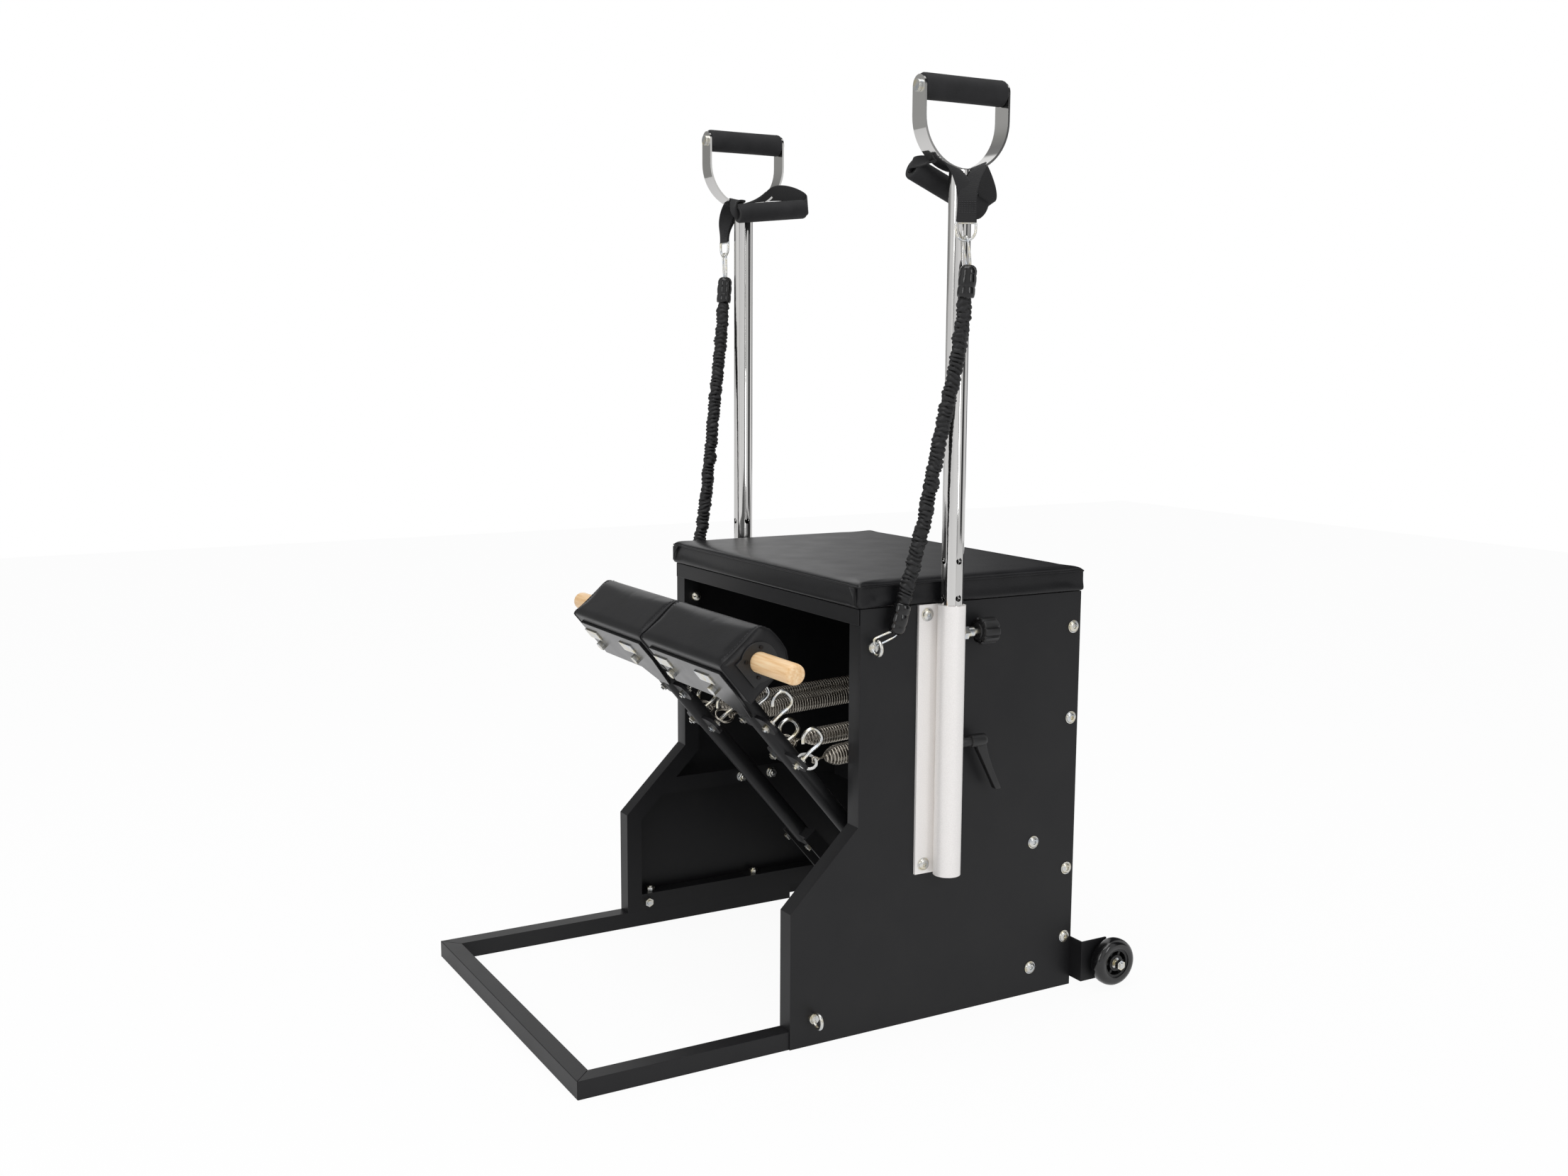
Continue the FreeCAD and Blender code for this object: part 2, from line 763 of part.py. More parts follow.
def frame_screws():
    through = "panel_fold + sheet_gauge + nut_height + thread_end"
    pieces = [button_screw(half, back - put, z, through) for put, z in through_bolts()[:4]]
    pieces += [button_screw(half, back - put, z, "panel_fold + cross_rail_end") for put, z in rail_screws()]
    flange = "flange_gauge + sheet_gauge + nut_height + thread_end"
    pieces += [button_screw(half + s.flange_gauge, y, z, flange) for y, z in flange_screws()]
    return both_sides(group(*pieces))


def frame_nuts():
    pieces = [inside_nut(inner - s.sheet_gauge, back - put, z) for put, z in through_bolts()[:4]]
    pieces += [inside_nut(inner, back - put, z) for put, z in through_bolts()[4:]]
    pieces += [inside_nut(half - s.sheet_gauge, y, z) for y, z in flange_screws()]
    return both_sides(group(*pieces))


def eye_bolt(put, z):
    y = back - put
    collar = rod("eye_collar_dia", "eye_collar", (half, y, z), "x")
    start = inner - s.nut_height - s.thread_end
    shank = rod("screw_dia", "panel_fold + nut_height + thread_end + eye_collar / 2", (start, y, z), "x")
    eye = ring("eye_ring_radius", "eye_wire", (eye_x(), y, z), "y")
    return joined(collar, shank, eye)


def eye_x():
    return half + s.eye_collar + s.eye_ring_radius - s.eye_wire / 4


# Seat
def rounded_loop(inset, z):
    """A rounded rectangle of the seat's plan, drawn in by an inset."""
    x, corner = seat_width / 2 - inset, s.seat_corner
    low, high = back - s.seat_back_set - seat_depth + inset, back - s.seat_back_set - inset
    nip = corner * (1 - math.sqrt(0.5))
    edges = []
    corners = [(x, low, 1, -1), (x, high, 1, 1), (-x, high, -1, 1), (-x, low, -1, -1)]
    for index, (cx, cy, dx, dy) in enumerate(corners):
        along_y, along_x = Vector(cx, cy - dy * corner, z), Vector(cx - dx * corner, cy, z)
        start, end = (along_x, along_y) if index % 2 == 0 else (along_y, along_x)
        middle = Vector(cx - dx * nip, cy - dy * nip, z)
        edges.append((start, middle, end))
    wire = []
    for index, (start, middle, end) in enumerate(edges):
        wire.append(Part.Arc(start, middle, end).toShape())
        wire.append(line(end, edges[(index + 1) % 4][0]))
    return Part.Wire(wire)


def seat_board():
    x = -seat_width / 2 + s.board_inset
    y = back - s.seat_back_set - seat_depth + s.board_inset
    wide = "panel_span + 2 * seat_overhang - 2 * board_inset"
    return box(wide, "panel_top_depth - seat_back_set - 2 * board_inset", "board_thickness",
               (x, y, s.panel_height))


def seat_cushion(board):
    """Drawn in below, full at the seam and crowned on top, wrapped round the board."""
    floor, thick, draw = s.panel_height, s.seat_thickness, s.seat_draw
    levels = [(draw, 0.0), (0.0, 0.4), (0.4 * draw, 0.68), (2 * draw, 0.86), (6 * draw, 0.96), (18 * draw, 1.0)]
    return less(shaped(lofted([rounded_loop(inset, floor + thick * share) for inset, share in levels])), board)


# Sleeves, locks and levers, drawn for the right side
def pole_sleeve():
    tall, low = "sleeve_length", sleeve_low
    tube = rod("sleeve_dia", tall, (pole_x, pole_y, low))
    flange = box("flange_gauge", "flange_reach + fin_reach", tall, (half, pole_y - s.flange_reach, low))
    web = box("sleeve_dia / 2 + sleeve_stand", "sleeve_dia / 2", tall, (half, pole_y - s.sleeve_dia / 4, low))
    bore = rod("pole_dia + pole_slack", "2 * sleeve_length", (pole_x, pole_y, low - s.sleeve_length / 2))
    screws = [rod("screw_dia + hole_slack", "3 * flange_gauge", (half - s.flange_gauge, y, z), "x")
              for y, z in flange_screws()]
    pins = [rod("pin_dia + pin_slack", "sleeve_dia", (pole_x, pole_y, z), "y") for z in (lock_z, lever_z)]
    spots = [rod("1.3 * bush_flats", "sleeve_dia", (pole_x, spot_y(), z), "y") for z in (lock_z, lever_z)]
    return less(joined(tube, flange, web), bore, *screws, *pins, *spots)


def spot_y():
    """The flat that the bush and the lever collar sit on."""
    return pole_y + s.sleeve_dia / 2 - s.spot_depth


def lock_bush():
    nut = hexagon("bush_flats", "bush_hex", (pole_x, spot_y(), lock_z), "y")
    neck = rod("bush_neck_dia", "bush_hex + bush_neck", (pole_x, spot_y(), lock_z), "y")
    bore = rod("pin_dia + pin_slack", "3 * bush_hex + 3 * bush_neck", (pole_x, pole_y, lock_z), "y")
    return less(joined(nut, neck), bore)


def lock_knob():
    """A fluted pull knob on a pin whose nose waits just clear of the pole."""
    start = spot_y() + s.bush_hex + s.bush_neck + s.knob_gap
    grip = rod("knob_dia", "knob_length", (pole_x, start, lock_z), "y")
    reach = s.knob_dia / 2 + s.knob_flute / 4
    flutes = []
    for index in range(KNOB_FLUTES):
        angle = 2 * math.pi * index / KNOB_FLUTES
        spot = (pole_x + reach * math.cos(angle), start - s.knob_length, lock_z + reach * math.sin(angle))
        flutes.append(rod("knob_flute", "3 * knob_length", spot, "y"))
    nose = pole_y + s.pole_dia / 2 + s.pin_clear
    nose_to_bush = "sleeve_dia / 2 - spot_depth - pole_dia / 2 - pin_clear"
    length = f"{nose_to_bush} + bush_hex + bush_neck + knob_gap + knob_length / 2"
    return joined(less(grip, *flutes), rod("pin_dia", length, (pole_x, nose, lock_z), "y"))


def clamp_lever():
    nose = pole_y + s.pole_dia / 2 + s.pin_clear
    start = spot_y() + s.lever_collar
    length = "sleeve_dia / 2 - spot_depth + lever_collar + lever_hub / 2 - pole_dia / 2 - pin_clear"
    stud = rod("pin_dia", length, (pole_x, nose, lever_z), "y")
    collar = rod("bush_neck_dia", "lever_collar", (pole_x, spot_y() + s.running_gap, lever_z), "y")
    hub = rod("lever_hub_dia", "lever_hub", (pole_x, start, lever_z), "y")
    outline = [
        ("0", "lever_hub_dia / 2"), ("-lever_hub_dia", "lever_hub_dia / 2"),
        ("-lever_hub_dia / 2 - lever_back_reach - lever_tip", "-lever_drop_reach"),
        ("-lever_hub_dia / 2 - lever_back_reach", "-lever_drop_reach"),
        ("0", "-lever_hub_dia / 2"),
    ]
    arm = prism([outline], "lever_width",
                (pole_x + s.lever_width / 2, start + s.lever_hub - s.lever_hub_dia, lever_z), SIDE)
    return joined(stud, collar, hub, arm)


# Poles and handles, drawn for the right side
def pole():
    """A cross-drilled tube with a flat-strip yoke welded on its top."""
    tube = less(rod("pole_dia", "pole_top - pole_bottom + 2 * yoke_gauge / 3", (pole_x, pole_y, s.pole_bottom)),
                rod("pole_dia - 2 * pole_gauge", "2 * pole_top", (pole_x, pole_y, s.pole_bottom - s.pole_top)))
    drill = []
    for step in range(-HOLES_EACH_WAY, HOLES_EACH_WAY + 1):
        z = lock_z + step * s.hole_pitch
        drill.append(rod("pole_hole", "2 * pole_dia", (pole_x - s.pole_dia, pole_y, z), "x"))
        drill.append(rod("pole_hole", "2 * pole_dia", (pole_x, pole_y - s.pole_dia, z), "y"))
    start = pole_x - s.yoke_width / 2
    aside = start - s.yoke_width
    band = less(rod("2 * yoke_radius", "yoke_width", (start, pole_y, yoke_z), "x"),
                rod("2 * yoke_radius - 2 * yoke_gauge", "3 * yoke_width", (aside, pole_y, yoke_z), "x"),
                box("3 * yoke_width", "4 * yoke_radius", "2 * yoke_radius",
                    (aside, pole_y - 2 * s.yoke_radius, yoke_z)))
    legs = []
    for y in (pole_y - s.yoke_radius, pole_y + s.yoke_radius - s.yoke_gauge):
        leg = box("yoke_width", "yoke_gauge", "grip_rise - yoke_radius", (start, y, yoke_z))
        end = rod("yoke_width", "yoke_gauge", (pole_x, y, grip_z), "y")
        legs += [leg, end]
    hole = rod("screw_dia + hole_slack", "4 * yoke_radius", (pole_x, pole_y - 2 * s.yoke_radius, grip_z), "y")
    return less(joined(less(tube, *drill), band, *legs), hole)


def handle_grip():
    start = pole_y - s.yoke_radius + s.yoke_gauge + s.grip_slack
    length = "2 * yoke_radius - 2 * yoke_gauge - 2 * grip_slack"
    return less(rod("grip_dia", length, (pole_x, start, grip_z), "y"),
                rod("screw_dia + hole_slack", "4 * yoke_radius", (pole_x, pole_y - 2 * s.yoke_radius, grip_z), "y"))


def handle_bolt():
    start = pole_y - s.yoke_radius
    shank = rod("screw_dia", "2 * yoke_radius", (pole_x, start, grip_z), "y")
    heads = [rod("screw_head", "screw_head_height", (pole_x, y, grip_z), "y")
             for y in (start - s.screw_head_height, pole_y + s.yoke_radius)]
    return joined(shank, *heads)


# Wheels, drawn for the right side
def wheel_bracket():
    """A plate on the panel's back that folds outwards and back beside the wheel."""
    low, x = s.bracket_foot, half - s.bracket_overlap
    flange = box("bracket_overlap + bracket_reach + bracket_gauge", "bracket_gauge", "bracket_height", (x, back, low))
    arm = box("bracket_gauge", "wheel_back", "bracket_height", (bracket_x, back, low))
    tip = rod("0.7 * bracket_height", "bracket_gauge", (bracket_x, wheel_y, wheel_z), "x")
    hole = rod("axle_dia + hole_slack", "6 * bracket_gauge", (bracket_x - 3 * s.bracket_gauge, wheel_y, wheel_z), "x")
    return less(joined(flange, arm, tip), hole)


def wheel_axle():
    head_x = bracket_x - s.nut_height
    head = hexagon("nut_flats", "nut_height", (head_x, wheel_y, wheel_z), "x")
    spacer = rod("bush_neck_dia", "wheel_gap - running_gap", (bracket_x + s.bracket_gauge, wheel_y, wheel_z), "x")
    length = "nut_height + bracket_gauge + 2 * wheel_gap + wheel_width + nut_height + thread_end"
    shank = rod("axle_dia", length, (head_x, wheel_y, wheel_z), "x")
    nut = hexagon("nut_flats", "nut_height", (wheel_x + s.wheel_width + s.wheel_gap, wheel_y, wheel_z), "x")
    return joined(head, spacer, shank, nut)


def wheel_tyre():
    tyre, crown, wide = "wheel_dia / 2", "wheel_crown", "wheel_width"
    return turned([
        ("core_dia / 2", "0"), (f"{tyre} - {crown}", "0"), (f"{tyre} - {crown} / 3", f"{wide} / 8"),
        (tyre, f"{wide} / 3"), (tyre, f"2 * {wide} / 3"), (f"{tyre} - {crown} / 3", f"7 * {wide} / 8"),
        (f"{tyre} - {crown}", wide), ("core_dia / 2", wide),
    ], (wheel_x, wheel_y, wheel_z), "x")


def wheel_core():
    rim = rod("core_dia", "wheel_width", (wheel_x, wheel_y, wheel_z), "x")
    holes = []
    reach = (s.core_dia + s.bearing_dia) / 4
    for index in range(CORE_HOLES):
        angle = 2 * math.pi * index / CORE_HOLES
        spot = (wheel_x - s.wheel_width, wheel_y + reach * math.cos(angle), wheel_z + reach * math.sin(angle))
        holes.append(rod("core_hole", "3 * wheel_width", spot, "x"))
    seat = rod("bearing_dia", "3 * wheel_width", (wheel_x - s.wheel_width, wheel_y, wheel_z), "x")
    bearing = less(rod("bearing_dia", "wheel_width", (wheel_x, wheel_y, wheel_z), "x"),
                   rod("axle_dia + axle_slack", "3 * wheel_width", (wheel_x - s.wheel_width, wheel_y, wheel_z), "x"))
    return group(less(rim, seat, *holes), bearing)


# Pedals, drawn with the pivot at the origin and the arm along +Z, then leaned forwards
def brackets():
    return (s.lower_bracket, s.upper_bracket)


def hook_spots(arm):
    return [(arm + side * s.hook_spread, z) for z in brackets() for side in (-1, 1)]


def on_pedal(item):
    item.Placement = pedal_place.multiply(item.Placement)
    return item


def pedal_arm(arm):
    """A round tube with hook ears, on two bars that turn about the pivot shaft."""
    tube = rod("arm_dia", "arm_top - end_bracket", (arm, 0, s.end_bracket))
    ears = []
    ear_y = -s.ear_set - s.ear_gauge / 2
    for z in brackets():
        corner = (arm - s.hook_spread, ear_y, z - s.ear_width / 2)
        ears.append(box("2 * hook_spread", "ear_gauge", "ear_width", corner))
        ears += [rod("ear_width", "ear_gauge", (arm + side * s.hook_spread, ear_y, z), "y") for side in (-1, 1)]
    block = box("hub_length", "end_block_depth", "end_block",
                (arm - s.hub_length / 2, -s.end_block_depth / 2, s.end_bracket - s.end_block / 2))
    bars = [box("bar_gauge", "bar_width", "end_bracket + end_block / 2", (x, -s.bar_width / 2, 0))
            for x in (arm - s.hub_length / 2, arm + s.hub_length / 2 - s.bar_gauge)]
    hub = rod("hub_dia", "hub_length", (arm - s.hub_length / 2, 0, 0), "x")
    bore = rod("arm_dia - 2 * arm_gauge", "arm_top", (arm, 0, s.end_bracket + s.end_block))
    turn = rod("shaft_dia + shaft_slack", "3 * hub_length", (arm - 1.5 * s.hub_length, 0, 0), "x")
    holes = [rod("hook_wire + hole_slack", "4 * ear_gauge", (x, ear_y - s.ear_gauge, z), "y")
             for x, z in hook_spots(arm)]
    notch = box("2 * arm_dia", "arm_dia", "arm_top", (arm - s.arm_dia, -s.pad_base - s.arm_dia, s.tongue_low))
    return on_pedal(less(joined(tube, *ears, block, *bars, hub), bore, turn, notch, *holes))


def pad_ends(side):
    """The pad's two end faces, from the chair's middle outwards."""
    sign = 1 if side == "right" else -1
    return sign * s.pad_split, sign * pad_outer


def pedal_plate(arm):
    """A plate under the pad that narrows to a tongue on the arm."""
    body = new_body((arm, -s.pad_base, 0), FACE)
    left, right = f"plate_inset - {ARM}", f"{PITCH} - plate_inset - {ARM}"
    pad_on(body, [[
        (left, "plate_high"), (left, "plate_low"), ("-1.5 * tongue_width", "plate_low"),
        ("-tongue_width / 2", "tongue_low"), ("tongue_width / 2", "tongue_low"),
        (right, "(plate_low + plate_high) / 2"), (right, "plate_high"),
    ]], "plate_gauge")
    return on_pedal(body)


def pad_section(x, draw):
    """The pad's cross-section: a flat base, straight sides and a crowned top."""
    low, high = s.pad_start + draw, s.pad_start + s.pad_width - draw
    side, crown, corner, base = s.pad_side - draw, s.pad_height - draw, s.pad_corner, -s.pad_base
    nip = corner * (1 - math.sqrt(0.5))

    def at(rise, z):
        return Vector(x, base + rise, z)

    return Part.Wire([
        line(at(0, low), at(0, high)),
        line(at(0, high), at(side - corner, high)),
        Part.Arc(at(side - corner, high), at(side - nip, high - nip), at(side, high - corner)).toShape(),
        Part.Arc(at(side, high - corner), at(crown, (low + high) / 2), at(side, low + corner)).toShape(),
        Part.Arc(at(side, low + corner), at(side - nip, low + nip), at(side - corner, low)).toShape(),
        line(at(side - corner, low), at(0, low)),
    ])


def pedal_pad(side):
    inner_end, outer_end = pad_ends(side)
    step = math.copysign(s.pad_end, outer_end)
    stations = [(inner_end, s.pad_draw), (inner_end + step, 0), (outer_end - step, 0), (outer_end, s.pad_draw)]
    return on_pedal(shaped(lofted([pad_section(x, draw) for x, draw in sorted(stations)])))


def peg_spot():
    return s.peg_rise - s.pad_base, s.pad_start + s.pad_width / 2


def wood_peg():
    y, z = peg_spot()
    straight, radius, nose = "peg_length", "peg_dia / 2", "peg_round"
    return turned([
        ("0", "0"), (radius, "0"), (radius, f"{straight} - {nose}"),
        (f"{radius} - 0.3 * {nose}", f"{straight} - 0.3 * {nose}"),
        (f"{radius} - {nose}", straight), ("0", straight),
    ], (pad_outer, y, z), "x")


def rosette():
    y, z = peg_spot()
    disc = rod("rosette_dia", "rosette_gauge", (pad_outer, y, z), "x")
    foot = box("rosette_gauge", "rosette_dia / 2", "rosette_dia * 0.8",
               (pad_outer, y - s.rosette_dia / 2, z - 0.4 * s.rosette_dia))
    hole = rod("peg_dia + peg_slack", "3 * rosette_gauge", (pad_outer - s.rosette_gauge, y, z), "x")
    return less(joined(disc, foot), hole)


def for_side(side, item):
    return on_pedal(item if side == "right" else mirrored(item))


def pedal_hooks(arm):
    start = Vector(0, -s.ear_set - s.hook_tail, 0)
    edges = j_hook(start, Vector(0, 1, 0), Vector(0, 0, 1), s.hook_straight - start.y, s.hook_bend, s.hook_tip)
    hook = swept(edges, s.hook_wire)
    return group(*[on_pedal(shaped(hook, Placement(Vector(x, 0, z), Rotation()))) for x, z in hook_spots(arm)])


def hook_nut(x, y, z):
    return less(hexagon("hook_nut_flats", "hook_nut", (x, y, z), "y"),
                rod("hook_wire + thread_slack", "3 * hook_nut", (x, y - s.hook_nut, z), "y"))


def pedal_fasteners(arm, side):
    """Hook nuts, end bolts, plate clamps with their bolts, and the rosette's screws."""
    front, rear = -s.ear_set - s.ear_gauge / 2 - s.hook_nut, -s.ear_set + s.ear_gauge / 2
    pieces = [hook_nut(x, y, z) for x, z in hook_spots(arm) for y in (front, rear)]
    end_y = -s.bar_width / 2 - s.hook_nut
    bar_x = (s.hub_length - s.bar_gauge) / 2
    pieces += [hexagon("hook_nut_flats", "hook_nut", (arm + way * bar_x, end_y, s.end_bracket), "y")
               for way in (-1, 1)]
    plate_y = -s.pad_base - s.plate_gauge
    for x in (arm - arm_offset + pedal_pitch * 0.15, arm - arm_offset + pedal_pitch * 0.66):
        pieces.append(box("clamp_length", "clamp_gauge", "clamp_width",
                          (x - s.clamp_length / 2, plate_y - s.clamp_gauge, s.clamp_height - s.clamp_width / 2)))
        pieces.append(hexagon("nut_flats", "nut_height", (x, plate_y - s.nut_height, s.plate_bolt_height), "y"))
    y, z = peg_spot()
    sign = 1 if side == "right" else -1
    face = pad_outer + s.rosette_gauge
    start = face if sign > 0 else -face - s.rosette_screw / 2
    for turn in range(4):
        angle = math.radians(45 + 90 * turn)
        spot = (start, y + s.rosette_screw_circle * math.cos(angle), z + s.rosette_screw_circle * math.sin(angle))
        pieces.append(rod("rosette_screw", "rosette_screw / 2", spot, "x"))
    return group(*[on_pedal(piece) for piece in pieces])


# Springs
def spring(x, dia):
    """A coil with a threaded plug and a ring at each end, from a hook to the anchor rod."""
    front = pedal_place.multVec(Vector(x, s.ring_seat, s.lower_bracket))
    rear = Vector(x, back - s.anchor_set, s.anchor_height)
    length = (rear - front).Length
    radius = (dia - s.spring_wire) / 2
    plug = radius - s.spring_wire / 2 - s.plug_slack
    low, high = s.front_lead, length - s.rear_lead
    shank = s.ring_wire / 2
    tilt = math.radians(s.ring_tilt)

    def end(ring_radius, normal, lead):
        eye = Part.makeTorus(ring_radius, shank, Vector(0, 0, 0), normal)
        stem = Part.makeCylinder(shank, lead - s.plug_cone / 2 - ring_radius, Vector(0, 0, ring_radius))
        cone = Part.makeCone(shank, plug, s.plug_cone, Vector(0, 0, lead - s.plug_cone))
        core = Part.makeCylinder(plug, s.plug_length, Vector(0, 0, lead))
        return eye.multiFuse([stem, cone, core]).removeSplitter()

    fore = end(s.ring_radius, Vector(math.sin(tilt), math.cos(tilt), 0), s.front_lead)
    aft = end(s.rear_ring_radius, Vector(1, 0, 0), s.rear_lead)
    aft.Placement = Placement(Vector(0, 0, length), Rotation(Vector(1, 0, 0), 180))
    wire = coil(radius, low + s.spring_wire / 2, high - s.spring_wire / 2, s.spring_turns, s.spring_wire)
    place = Placement(front, Rotation(Vector(0, 0, 1), rear - front))
    return group(*[shaped(piece, place.multiply(piece.Placement)) for piece in (wire, fore, aft)])


# Cords, straps and their fittings
def boot(end, along):
    """A rubber boot on a cord's end, square to it."""
    return shaped(Part.makeCylinder(s.boot_dia / 2, s.boot_length, end, along))


def snap(start, held, held_wire, side):
    """An open hook from a boot, pulled against the wire that it holds."""
    unit = run_way(start, held)
    target = held - unit * (s.snap_bend - (s.snap_wire + held_wire) / 2 - s.thread_slack)
    gap = target - start
    reach = math.sqrt(gap.Length ** 2 - s.snap_bend ** 2)
    across = side - unit * side.dot(unit)
    across.normalize()
    share = s.snap_bend / gap.Length
    along = unit * math.sqrt(1 - share ** 2) - across * share
    over = across * math.sqrt(1 - share ** 2) + unit * share
    return shaped(swept(j_hook(start, along, over, reach, s.snap_bend, s.snap_return), s.snap_wire))


def cord(route):
    points = [Vector(*point) for point in route]
    edges = tangent_route(points)
    tube = swept(edges, s.cord_dia)
    length = sum(edge.Length for edge in edges)
    share = tube.Volume / (math.pi * s.cord_dia ** 2 / 4 * length)
    print("cord length", round(length, 1), "volume against section times length", round(share, 4))
    return shaped(tube)


def run_way(start, end):
    way = end - start
    way.normalize()
    return way


def lower_fitting(route):
    """The boot and snap hook between a cord and its upper eye bolt."""
    first, second = Vector(*route[0]), Vector(*route[1])
    down = run_way(second, first)
    tip = first + down * s.boot_length
    eye = Vector(math.copysign(eye_x(), first.x), back - eye_upper_set, eye_upper_height + s.eye_ring_radius)
    return [boot(first, down), snap(tip, eye, s.eye_wire, Vector(0, 0, -1))]


def upper_fitting(route, dee):
    last, before = Vector(*route[-1]), Vector(*route[-2])
    up = run_way(before, last)
    start = last + up * s.running_gap
    tip = start + up * s.boot_length
    middle = Vector(*dee)
    wire = middle - Vector(0, 0, s.dee_radius)
    loop_ring = ring("dee_radius", "dee_wire", dee, "x")
    outwards = Vector(math.copysign(1, last.x), 0, 0)
    return group(boot(start, up), snap(tip, wire, s.dee_wire, outwards), loop_ring)


def hand_strap(sign, dee, foam):
    """Two webbing legs over the yoke's foot, from the foam grip inside to the D-ring outside."""
    foam_y, foam_z, tilt = foam
    tilt = math.radians(tilt)
    outer = s.yoke_radius - s.yoke_gauge - s.strap_gap
    thin = outer - s.strap_gauge
    wide = s.yoke_width / 2 + s.strap_gauge
    foam_radius = s.foam_dia / 2 + s.strap_gap
    dee_top = dee[2] + s.dee_radius + s.dee_wire / 2 + s.strap_gap
    pieces = []
    for way in (-1, 1):
        angles = (STRAP_START, STRAP_END)

        def over(x, radius, angle):
            return Vector(sign * x, pole_y + way * radius * math.sin(angle), yoke_z - radius * math.cos(angle))

        def quad(x):
            return [over(x, radius, angle) for radius, angle in
                    ((thin, angles[0]), (thin, angles[1]), (outer, angles[1]), (outer, angles[0]))]

        inside, outside = quad(pole_x - wide), quad(pole_x + wide)
        saddle = lofted([loop(inside), loop(outside)])
        reach = s.strap_width / 2
        ends = [dee[1] + way * s.strap_gap, dee[1] + way * reach]
        dee_x = abs(dee[0])
        hem = [Vector(sign * (dee_x + s.strap_gauge / 2), ends[0], dee_top),
               Vector(sign * (dee_x + s.strap_gauge / 2), ends[1], dee_top),
               Vector(sign * (dee_x - s.strap_gauge / 2), ends[1], dee_top),
               Vector(sign * (dee_x - s.strap_gauge / 2), ends[0], dee_top)]

        def on_foam(y, lift):
            axis_z = foam_z + (y - foam_y) * math.tan(tilt)
            radius = foam_radius + lift
            return Vector(sign * (foam_side + radius * math.sin(FOAM_LAP)), y,
                          axis_z + radius * math.cos(FOAM_LAP) / math.cos(tilt))

        near, far = inside[0].y, inside[1].y
        lap = [on_foam(near, s.strap_gauge), on_foam(far, s.strap_gauge), on_foam(far, 0), on_foam(near, 0)]
        pieces += [saddle, lofted([loop(outside), loop(hem)]), lofted([loop(inside), loop(lap)])]
    axis = Vector(0, math.cos(tilt), math.sin(tilt))
    start = Vector(sign * foam_side, foam_y, foam_z) - axis * (s.foam_length / 2)
    foam_grip = Part.makeCylinder(s.foam_dia / 2, s.foam_length, start, axis)
    webbing = [pieces[0].multiFuse(pieces[1:3]), pieces[3].multiFuse(pieces[4:6])]
    return group(*[shaped(piece) for piece in webbing + [foam_grip]])


# Every node
panel = side_panel()
node("right_side_panel", panel)
node("left_side_panel", mirrored(panel))
joint_low = "back_joint_height - back_joint_gap / 2"
joint_high = "back_joint_height + back_joint_gap / 2"
upper_screws = (screw_top, screw_upper)
lower_screws = (s.back_screw_lower, s.back_screw_low)
node("upper_back_panel", back_panel(joint_high, "panel_height - sheet_gauge", upper_screws))
node("lower_back_panel", back_panel("base_tube + foot_rail_height", joint_low, lower_screws))
node("seat_tray", seat_tray())
node("seat_board", seat_board())
node("seat_cushion", seat_cushion(nodes["seat_board"]))
node("cross_rails", group(cross_rail(s.mid_rail_height), cross_rail(s.low_rail_height, pivot_lugs())))
node("pivot_shaft", pivot_shaft())
node("spring_anchor", spring_anchor())
right_tube, front_tube = base_tubes()
node("right_base_tube", right_tube)
node("left_base_tube", mirrored(right_tube))
node("front_base_tube", front_tube)
node("base_bolts", both_sides(base_bolt_set()))
node("frame_screws", frame_screws())
node("frame_nuts", frame_nuts())
node("cord_eye_bolts", both_sides(group(eye_bolt(eye_upper_set, eye_upper_height),
                                        eye_bolt(eye_lower_set, eye_lower_height))))
node("pole_sleeves", both_sides(pole_sleeve()))
node("lock_bushes", both_sides(lock_bush()))
node("wheel_brackets", both_sides(wheel_bracket()))
node("wheel_axles", both_sides(wheel_axle()))
for make in (lock_knob, clamp_lever, pole, handle_grip, handle_bolt, wheel_tyre, wheel_core):
    piece = node("right_" + make.__name__, make())
    node("left_" + make.__name__, mirrored(piece))
for side, arm in arm_places().items():
    node(side + "_pedal_arm", pedal_arm(arm))
    node(side + "_pedal_plate", pedal_plate(arm))
    node(side + "_pedal_pad", pedal_pad(side))
    node(side + "_pedal_peg", for_side(side, wood_peg()))
    node(side + "_peg_rosette", for_side(side, rosette()))
    node(side + "_spring_hooks", pedal_hooks(arm))
    node(side + "_pedal_fasteners", pedal_fasteners(arm, side))
    node(side + "_outer_spring", spring(arm + s.hook_spread, s.outer_spring_dia))
    node(side + "_inner_spring", spring(arm - s.hook_spread, s.inner_spring_dia))
for side, sign, route, dee, foam in (("right", 1, RIGHT_ROUTE, RIGHT_DEE, RIGHT_FOAM),
                                     ("left", -1, LEFT_ROUTE, LEFT_DEE, LEFT_FOAM)):
    node(side + "_cord", cord(route))
    node(side + "_cord_fitting", upper_fitting(route, dee))
    node(side + "_hand_strap", hand_strap(sign, dee, foam))
node("lower_cord_fittings", group(*lower_fitting(RIGHT_ROUTE), *lower_fitting(LEFT_ROUTE)))

doc.recompute()
for item in doc.Objects:
    if "Invalid" in item.State or "Error" in item.State:
        raise RuntimeError(f"{item.Name} ({item.Label}) failed: {item.State}")
for name, item in nodes.items():
    if item.Shape.isNull() or not item.Shape.isValid() or not item.Shape.Solids:
        raise RuntimeError(f"{name} has no valid solid")
os.makedirs("parts", exist_ok=True)
for name, item in nodes.items():
    item.Shape.exportStep(f"parts/{name}.step")
print(len(nodes), "nodes")
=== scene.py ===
# %% [markdown]
# # A pilates chair, dressed for its picture
# The chair is a box of folded steel with a padded seat, two sprung foot pedals, two handle poles and two
# elastic cords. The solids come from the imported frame, in metres. This lesson gives each of them the
# surface of the real thing and models anew what is soft, wound, moulded or turned.

# %% Load the frame
import json
import math

